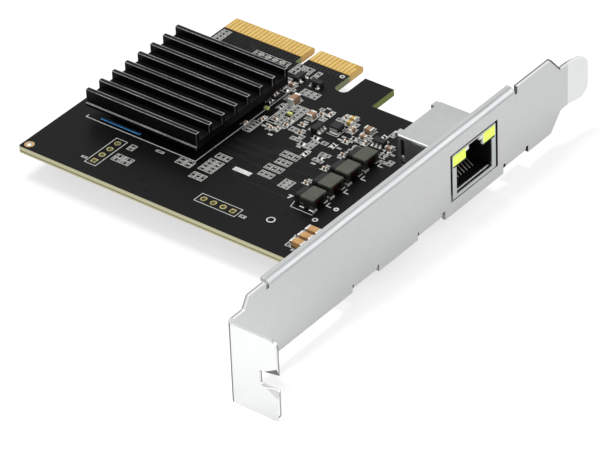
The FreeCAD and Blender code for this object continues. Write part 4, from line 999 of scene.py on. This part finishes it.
# low corner, high corner, columns, rows
BLOCKS = [
    (18.6, -45.2, 22.2, -43.2, 3, 1), (18.2, -42.6, 22.6, -40.5, 3, 1),
    (18.8, -39.8, 22.4, -37.7, 3, 1), (18.1, -37.1, 22.6, -34.9, 3, 1),
    (24.7, -34.7, 27.4, -31.0, 2, 3),
    (24.6, -46.2, 27.4, -43.0, 2, 3), (7.2, -50.7, 11.0, -46.0, 2, 4),
    (7.4, -45.4, 11.0, -43.4, 3, 1), (7.4, -54.0, 11.0, -51.7, 3, 1),
    (8.2, -28.2, 13.0, -20.2, 3, 7), (3.4, -17.6, 6.2, -14.4, 2, 3),
    (7.2, -16.4, 11.8, -14.0, 3, 2), (8.9, -20.2, 10.9, -17.4, 1, 3),
    (14.6, -19.9, 15.9, -17.9, 1, 2), (16.7, -22.0, 18.4, -18.9, 2, 2),
    (19.8, -20.0, 22.2, -17.6, 2, 2), (24.4, -21.4, 25.4, -18.4, 1, 2),
    (25.5, -22.7, 28.2, -20.9, 1, 2), (26.4, -24.2, 29.6, -23.2, 2, 1),
    (25.8, -26.4, 28.2, -25.3, 1, 1), (28.8, -29.0, 31.0, -25.0, 1, 4),
    (13.8, -25.9, 16.4, -24.6, 1, 1), (13.8, -28.6, 16.0, -26.9, 2, 1),
    (16.0, -31.0, 18.6, -28.4, 2, 2), (18.4, -29.6, 20.4, -26.6, 1, 3),
    (20.4, -32.0, 22.4, -28.4, 2, 2), (22.5, -28.9, 25.8, -27.6, 2, 1),
    (32.6, -18.6, 34.1, -15.9, 2, 2), (30.9, -20.4, 33.3, -19.2, 1, 1),
    (5.7, -34.0, 7.9, -29.6, 1, 4), (10.3, -31.6, 12.9, -29.4, 3, 1),
    (5.8, -20.0, 7.6, -17.8, 1, 2), (0.6, -14.0, 3.0, -12.6, 2, 1),
    (1.8, -51.6, 5.9, -49.2, 2, 2), (-4.1, -50.7, -1.9, -49.9, 1, 1),
    (-9.9, -58.4, -5.2, -55.7, 2, 2), (-9.6, -53.6, -7.9, -51.4, 1, 2),
    (-15.6, -61.2, -14.0, -60.4, 1, 1), (24.9, -59.4, 26.6, -58.4, 1, 1),
    (-21.7, -9.7, -19.3, -5.4, 1, 4), (-10.6, -9.8, -1.0, -7.9, 5, 1),
    (0.2, -12.3, 4.8, -7.0, 2, 4), (5.6, -10.4, 7.0, -7.2, 1, 2),
    (-26.4, -22.0, -25.2, -18.6, 1, 2),
    (34.2, -24.9, 36.0, -23.8, 1, 1), (37.2, -20.6, 39.6, -17.4, 2, 3),
    (22.6, -24.0, 24.0, -21.0, 1, 1), (36.6, -27.4, 39.8, -25.4, 2, 2),
]
print("footprints:", sum(footprint_block(*block) for block in BLOCKS))
finish_piece(spare_pads, "spare_pads", "tinned_ends", pad_tin)


# %% [markdown]
# Each small part has a mark beside it, three short bars in a row. The mark goes
# to the first side of the part where there's room, so it moves with the part.

# %% marks beside the small parts
MARK_X, MARK_Y = 0.6, 0.3
BAR_X, BAR_Y = 0.13, 0.28
marked = 0
for box in bodies:
    x, y, _ = middle_of(box)
    reach_x, reach_y = (box[1][0] - box[0][0]) / 2 + 1.3, (box[1][1] - box[0][1]) / 2 + 0.95
    for spot_x, spot_y in ((x, y + reach_y), (x, y - reach_y), (x + reach_x, y),
                           (x - reach_x, y), (x, y + 2 * reach_y), (x, y - 2 * reach_y)):
        area = (spot_x - MARK_X, spot_y - MARK_Y, spot_x + MARK_X, spot_y + MARK_Y)
        if is_free(*area, 0.05):
            for step in (-0.4, 0.0, 0.4):
                add_patch(print_bm, spot_x + step - BAR_X, spot_y - BAR_Y,
                          spot_x + step + BAR_X, spot_y + BAR_Y)
            taken.append(((*area[:2], 0), (*area[2:], INK_TOP)))
            marked += 1
            break
print("marked parts:", marked, "of", len(bodies))


# %% [markdown]
# The larger outlines follow the parts they belong to: two lines beside the
# heatsink, a frame round each pin row, short hooks by the chokes, a frame at the
# large capacitors and one beside the inductor. One more frame, a bar and three of
# the four rings have places of their own.

# %% outlines round the large parts
corner_x, corner_y = sink_high[0] - 0.05, sink_low[1] - 0.4
ink_line((sink_low[0] + 0.3, corner_y + 0.9), (sink_low[0] + 0.3, corner_y),
         (corner_x, corner_y), (corner_x, sink_high[1] + 1.0), width=0.22)
pin_pads = [middle_of(box) for box in solid_boxes("plated_pads")]
near_row = [pad for pad in pin_pads if pad[0] > 0]
left_row = [pad for pad in pin_pads if pad[0] < 0]
ROW_MARGIN = 1.45
for row in (near_row, left_row):
    xs, ys, _ = zip(*row)
    ink_frame(min(xs) - ROW_MARGIN, min(ys) - ROW_MARGIN, max(xs) + ROW_MARGIN,
              max(ys) + ROW_MARGIN)
for low, high in choke_plates:
    right = high[0] + 0.9
    ink_line((right, high[1] - 0.2), (right, high[1] - 1.5), (right + 1.2, high[1] - 1.5),
             width=0.26)
    ink_line((right - 0.6, low[1] - 0.6), (right - 0.6, low[1] + 0.9))
low, high = choke_plates[0]
left, near = low[0] - 4.45, low[1] + 0.85
ink_line((left, near + 1.1), (left + 0.9, near + 1.1), (left + 0.5, near), width=0.36)
ink_line((low[0] - 2.2, low[1] + 1.4), (low[0] - 1.6, low[1] - 1.2), (high[0] + 0.6, low[1] - 1.2))
low, high = node_box("large_capacitor_ends")
ink_line((high[0], low[1] - 0.4), (low[0] - 0.8, low[1] - 0.4), (low[0] - 0.8, high[1] + 0.4),
         (high[0], high[1] + 0.4), width=0.22)
low, high = node_box("power_inductor")
ink_line((high[0] + 0.3, high[1] + 1.6), (high[0] + 0.3, low[1] - 0.9),
         (low[0] - 0.2, low[1] - 0.9))
ink_frame(8.0, -28.4, 13.2, -20.0)
add_patch(print_bm, 13.4, -46.8, 17.8, -45.5)
for x, y, inner, outer in (
    (corner_x - 1.4, corner_y - 0.9, 0.35, 0.6), (11.0, -5.9, 0.3, 0.6),
    (38.6, -51.4, 0.35, 0.65), (31.2, -56.5, 0.7, 1.0),
):
    add_ring(print_bm, x, y, inner, outer, 0.0, INK_TOP)
finish_piece(print_bm, "printed_outlines", "board_laminate", ink)


# %% [markdown]
# Tracks and vias make a board look like a board when light grazes it. Tracks run
# in parallel and turn by 45 degrees. Loops lay them family by family: from the
# contacts under the heatsink, from the heatsink to the chokes, from the chokes to
# the socket, and on the solder side. A via is a small ring where a track changes
# side. All are under the lacquer. On the parts' side it nearly hides the vias, and
# on the solder side they share the tracks' finish. The board's outline has
# notches, so the long tracks from the contacts and the scattered vias first ask
# whether there is board under them: a ray sent straight down has to meet it.

# %% helper: is there board under a spot
laminate = nodes["circuit_board"]
board_tree = BVHTree.FromPolygons(
    [laminate.matrix_world @ vert.co for vert in laminate.data.vertices],
    [list(face.vertices) for face in laminate.data.polygons])


def on_board(*spots, margin=0.4):
    """True where the board lies under each spot and a little way round it."""
    return all(
        board_tree.ray_cast(Vector((x + side_x * margin, y + side_y * margin, 9.0)) * MM,
                            Vector((0, 0, -1)))[0] is not None
        for x, y in spots for side_x in (-1, 1) for side_y in (-1, 1))


print("board faces:", len(laminate.data.polygons))


# %% tracks on the component side
TRACK_TOP = 0.018
CONTACTS_END = -4.7
SHORT_FROM = sink_high[0] - 3  # contacts from here on have short, wide tracks


def stepped(x, turn_y, sway, end_y):
    """A track from a contact that steps aside once, at 45 degrees."""
    return [(x, CONTACTS_END), (x, turn_y), (x + sway, turn_y - abs(sway)), (x + sway, end_y)]


tracks = bmesh.new()
via_spots = []
socket_low, socket_high = node_box("jack_shield")
contacts = sorted(middle_of(box)[0] for box in solid_boxes("edge_contacts_front"))
for index, x in enumerate(contacts):
    if x >= SHORT_FROM:
        points = [(x, CONTACTS_END), (x, -6.2), (x + 0.5, -6.7)]
        add_ribbon(tracks, points, 0.3, 0.0, TRACK_TOP)
        via_spots.append((x + 0.5, -7.0))
    elif index % 4 != 3:
        sway = 1.2 if index % 8 < 4 else -1.2
        points = stepped(x, -6.4 - 0.5 * (index % 4), sway,
                         sink_high[1] + 1.2 - 0.7 * (index % 2))
        if on_board(*points):
            add_ribbon(tracks, points, 0.16, 0.0, TRACK_TOP)
            via_spots.append(points[-1])
for index, (low, high) in enumerate(choke_plates):
    middle_y = (low[1] + high[1]) / 2
    for side in (-1, 1):
        start_y = sink_low[1] + 4.0 + 2.4 * index + 0.35 * side
        end_y = middle_y + side * 1.5
        bend = 12.0 + 1.1 * index
        points = [(sink_high[0] - 2, start_y), (bend, start_y),
                  (bend + abs(end_y - start_y), end_y), (low[0] + 0.6, end_y)]
        add_ribbon(tracks, points, 0.17, 0.0, TRACK_TOP)
        rise = socket_low[1] + 0.7 + (2 * index + (side + 1) / 2) * 1.02 - end_y
        over = high[0] + 0.5 + 0.3 * index
        if rise < 40.6 - over:
            points = [(high[0] - 0.6, end_y), (over, end_y),
                      (over + abs(rise) * 0.4, end_y + rise * 0.4)]
            add_ribbon(tracks, points, 0.17, 0.0, TRACK_TOP)
            via_spots.append(points[-1])
finish_piece(tracks, "component_side_tracks", "board_laminate", track)

# %% vias
VIA = {"inner": 0.13, "outer": 0.3, "sides": 10}
VIA_TOP = TRACK_TOP + 0.006
dice = random.Random(11)
vias = bmesh.new()
scattered = [
    (dice.uniform(left, right), dice.uniform(near, far))
    for left, right, near, far, count in (
        (-27.5, -14.5, -63.0, -50.5, 14), (-9.0, 34.0, -64.0, -50.5, 40),
        (6.5, 30.0, -49.0, -34.0, 40), (-27.0, 4.5, -16.0, -6.8, 34),
        (14.0, 40.0, -34.0, -12.5, 46))
    for _ in range(count)]
scattered = [spot for spot in scattered if on_board(spot)]
via_spots += scattered
for x, y in via_spots:
    add_ring(vias, x, y, low=0.0, high=VIA_TOP, **VIA)
finish_piece(vias, "vias", "board_laminate", tented)
print("vias:", len(via_spots))

# %% [markdown]
# The lacquer laps over the rims of the header pads, so only a narrow ring of metal
# shows round each hole. Each lap is a flat collar. Its outer side follows the pad
# and its inner side is the opening, round or square, and both have their points at
# the same angles, so that the points pair up. The plated test holes and the corner
# hole are rings on the lacquer.

# %% lacquer laps on the header pads
STEPS_ROUND = 32
laps = bmesh.new()
opening_square = (max(near_row)[:2], min(left_row, key=lambda pad: pad[1])[:2])
pad_square = (min(near_row)[:2], opening_square[1])
for low, high in solid_boxes("plated_pads"):
    x, y, _ = middle_of((low, high))
    is_in = [any(math.dist((x, y), spot) < 0.1 for spot in spots)
             for spots in (pad_square, opening_square)]
    outer = circle(x, y, (high[0] - low[0]) / 2 + 0.02, STEPS_ROUND, is_in[0])
    inner = circle(x, y, 0.66 if is_in[1] else 0.74, STEPS_ROUND, is_in[1])
    add_collar(laps, outer, inner, 0.0, high[2] + 0.01)
finish_piece(laps, "pad_lacquer_laps", "board_laminate", lacquer)
print("pad laps:", len(pin_pads))

# %% test rings and the corner hole
RING_TOP = 0.05
corner, filling, rings, centres = (bmesh.new() for _ in range(4))
add_ring(corner, -27.3, -63.8, 0.55, 1.1, 0.0, RING_TOP, sides=28)
add_disc(filling, -27.3, -63.8, 0.55, 0.0, RING_TOP + 0.01, sides=28, shrink=0.2)
for x, y in ((39.9, -46.0), (33.4, -16.4)):
    add_ring(rings, x, y, 0.26, 0.6, 0.0, RING_TOP, sides=28)
    add_disc(centres, x, y, 0.28, 0.0, 0.012)
finish_piece(corner, "corner_ring", "plated_rings", copper)
finish_piece(filling, "corner_filling", "plated_rings", tin)
finish_piece(rings, "test_rings", "plated_rings", tin)
finish_piece(centres, "test_hole_shades", "board_laminate", hole_dark)


# %% [markdown]
# Each choke has a dark block beside its plate, on one side, with a narrower,
# sloping top.

# %% choke shoulders
shoulders = bmesh.new()
for low, high in choke_plates:
    left, right = low[0] - 2.0, low[0] - 0.03
    near, far, top = low[1] + 0.7, high[1] - 0.25, high[2] - 0.5
    add_block(shoulders, (left, near, 0.12), (right, far, top - 0.35))
    add_block(shoulders, (left, near, top - 0.35), (right, far, top), shrink=0.22)
finish_piece(shoulders, "choke_shoulders", "ferrite", finishes["package_resin"])


# %% [markdown]
# The solder side shows what holds the card together: solder cones on the socket's
# eight pins, rings round the open pin holes, tracks from the contacts, and vias.

# %% tracks and vias on the solder side
under_tracks, under_vias = bmesh.new(), bmesh.new()
under_spots = []
for index, x in enumerate(contacts):
    points = stepped(x, -7.5 - 0.4 * (index % 3), 2.2 if x > 0 else -1.6,
                     -13.0 - 1.3 * (index % 5))
    if index % 3 != 2 and on_board(*points):
        add_ribbon(under_tracks, points, 0.17, solder_z - TRACK_TOP, solder_z)
        under_spots.append(points[-1])
for x, y in under_spots + scattered:
    add_ring(under_vias, x, y, low=solder_z - VIA_TOP, high=solder_z, **VIA)
finish_piece(under_tracks, "solder_side_tracks", "board_laminate", track)
finish_piece(under_vias, "solder_side_vias", "board_laminate", track)

# %% solder and rings on the solder side
joints, under_rings = bmesh.new(), bmesh.new()
tails = solid_boxes("jack_contacts")
for low, high in tails:
    x, y = low[0] + 0.14, (low[1] + high[1]) / 2
    add_ring(under_rings, x, y, 0.2, 0.48, solder_z - 0.03, solder_z)
    add_disc(joints, x, y, 0.42, solder_z - 0.03, solder_z - 0.75, shrink=0.24)
for x, y, _ in pin_pads:
    add_ring(under_rings, x, y, 0.5, 0.85, solder_z - 0.05, solder_z, sides=24)
finish_piece(joints, "pin_solder", "tinned_ends", tin)
finish_piece(under_rings, "solder_side_rings", "plated_rings", pad_plating)
print("soldered pins:", len(tails))


# %% [markdown]
# The socket's shell is folded from one sheet. Its top laps over each side in a
# narrow strip, the side has a pressed rib, and a small bright peg shows in the
# slot. Solder joins its wings to the board. The light guides fill the top corners
# of the opening. Their front ends are yellow-green and glow faintly in their own
# colour, a painted glow. Behind the front, and along their lowest 0.3 mm, their
# faces are black, and their small inner corners are clear. bisect_plane cuts the
# copied mesh where the black begins, so each face belongs to one finish.

# %% socket shell details
near_y, far_y, roof = socket_low[1] + 1.3, socket_high[1] - 1.3, socket_high[2]
lap, blobs, sill, peg = (bmesh.new() for _ in range(4))
# mesh, extent along X, extent in height, extent outwards from the side, slope of the top
for bm, start_x, stop_x, low_z, high_z, start_out, stop_out, shrink in (
    (lap, 46.6, 55.4, roof - 1.15, roof - 0.45, 0.0, 0.05, 0.0),
    (lap, 46.2, 46.5, 0.1, roof - 0.45, 0.0, 0.1, 0.0),
    (blobs, 43.1, 44.9, 0.0, 0.42, 0.1, 1.3, 0.2),
):
    for side_y, outward in ((near_y, -1), (far_y, 1)):
        first, second = sorted((side_y + outward * start_out, side_y + outward * stop_out))
        add_block(bm, (start_x, first, low_z), (stop_x, second, high_z), shrink)
add_block(sill, (55.15, near_y + 0.9, -0.44), (55.75, far_y - 0.9, -0.2), shrink=0.1)
bmesh.ops.create_uvsphere(peg, u_segments=18, v_segments=10, radius=0.5 * MM)
for vertex in peg.verts:
    vertex.co *= Vector((1.0, 0.5, 1.6))
    vertex.co += Vector((43.75, near_y + 0.12, 4.1)) * MM
finish_piece(lap, "socket_shell_laps", "socket_shield", shell)
finish_piece(peg, "socket_peg", "socket_shield", shell)
finish_piece(sill, "socket_inner_sill", "socket_shield", shell)
finish_piece(blobs, "wing_solder", "tinned_ends", tin)
print("socket shell detailed")

# %% light guides
GLOW_DEPTH = 0.45
GLOW_BOTTOM = 0.3
# the guide's front: yellow-green, with a faint emission in its own colour, a painted glow
guide = mottled_finish(
    "guide_painted_glow", (222, 252, 88), (208, 242, 66), 0.25, blotch=250.0, bump=0.15,
    bump_scale=900.0, Emission_Strength=0.3)
tree, shader = parts_of(guide)
feed(tree, shader.inputs["Emission Color"], source(shader, "Base Color"))
clear_guide = mottled_finish(
    "clear_guide", (236, 240, 232), (214, 220, 210), 0.2, blotch=250.0, bump=0.1)
for node_name, inward in (("jack_light_near", 1), ("jack_light_far", -1)):
    low, high = node_box(node_name)
    glow_x, glow_z = high[0] - GLOW_DEPTH, low[2] + GLOW_BOTTOM
    lug_y = (high[1] - 1.1) if inward > 0 else (low[1] + 1.5)
    copy = clean_copy(node_name)
    for axis, place in enumerate((glow_x, lug_y, glow_z)):
        way = Vector([float(axis == other) for other in range(3)])
        bmesh.ops.bisect_plane(
            copy, geom=copy.verts[:] + copy.edges[:] + copy.faces[:],
            plane_co=way * place * MM, plane_no=way,
        )
    for face in copy.faces:
        centre = face.calc_center_median() / MM
        past_lug = (centre.y - lug_y) * inward > 0.01
        # faces behind the front band and along the bottom get the black moulding finish
        off_front_band = centre.x < glow_x - 0.01 or centre.z < glow_z - 0.01
        face.material_index = 2 if off_front_band else (1 if past_lug else 0)
    piece = finish_piece(copy, node_name + "_dressed", "light_guide", guide, clear_guide, moulding)
    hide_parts(node_name)


# %% [markdown]
# The floor is a plain pale sheet. For the camera, and for what metal and glass
# show, the sheet and the world are lifted to white. The lamps are not raised for
# that, so the colours of the card stay as typed. A softbox above makes the soft
# shadow, a weak one at the side lifts the dark flanks, and one behind the bracket
# draws the bright line along its bend. The screw tab hangs in the bracket's shade,
# so a narrow spot from the front lights it.

# %% floor
def white_when_seen(tree, plain, seen_value):
    """A number that is higher for the camera and for mirrored or clear views."""
    path = add(tree, "ShaderNodeLightPath").outputs
    seen = either(tree, path["Is Camera Ray"], path["Is Glossy Ray"], path["Is Transmission Ray"])
    return mix(tree, seen, plain, seen_value, "FLOAT")


lowest = cad_box[0][2]
bpy.ops.mesh.primitive_plane_add(size=3.0, location=(0.02, -0.04, lowest - 0.05 * MM))
floor = bpy.context.object
floor.name = "studio_floor"
sheet = new_finish("floor_paper", (159.685,) * 3, 0.9, Specular_IOR_Level=0.0,
                   Emission_Color=(1, 1, 1, 1))
tree, shader = parts_of(sheet)
feed(tree, shader.inputs["Emission Strength"], white_when_seen(tree, 0.43, 0.66))
floor.data.materials.append(sheet)
print("floor at", round(lowest / MM, 2), "mm")

# %% world and lamps
world = bpy.data.worlds.new("studio")
bpy.context.scene.world = world
world.use_nodes = True
sky = world.node_tree.nodes["Background"].inputs
sky["Color"].default_value = (1, 1, 1, 1)
feed(world.node_tree, sky["Strength"], white_when_seen(world.node_tree, 0.62, 1.0))


def add_lamp(name, kind, place, aim, watts, **settings):
    lamp = bpy.data.lights.new(name, kind)
    lamp.energy = watts
    for title, value in settings.items():
        setattr(lamp, title, value)
    holder = into_scene(name, lamp)
    holder.location = place
    holder.rotation_euler = (Vector(aim) - Vector(place)).to_track_quat("-Z", "Y").to_euler()


middle = (0.02, -0.04, 0.0)
for name, place, size, watts in (
    ("overhead_softbox", (-0.25, 0.0, 0.9), 0.3, 5.3),
    ("side_softbox", (0.9, -0.5, 0.5), 0.5, 1.5),
    ("rim_softbox", (0.66, 0.57, 0.5), 0.8, 2.4),
):
    add_lamp(name, "AREA", place, middle, watts, shape="SQUARE", size=size)
add_lamp("tab_glow", "SPOT", (0.0, -0.3, 0.35), (0.048, -0.128, -0.007), 15.0,
         spot_size=math.radians(14), spot_blend=1.0, shadow_soft_size=0.03)
print("lamps:", len(bpy.data.lights))


# %% [markdown]
# The camera stands well back with a long lens, which keeps the card's edges almost
# parallel. Its place and its aim are in metres, in the card's frame. It is rolled
# by two degrees.

# %% camera
lens = bpy.data.cameras.new("studio_camera")
lens.sensor_width = 36.0
lens.lens = 252.0
lens.clip_end = 10.0
camera = into_scene("studio_camera", lens)
camera.location = (0.47657, -0.59558, 0.49016)
camera.rotation_euler = (math.radians(54.824), math.radians(1.981), math.radians(37.688))
bpy.context.scene.camera = camera
bpy.context.scene.view_settings.view_transform = "Standard"
print("camera", [round(v, 3) for v in camera.location])
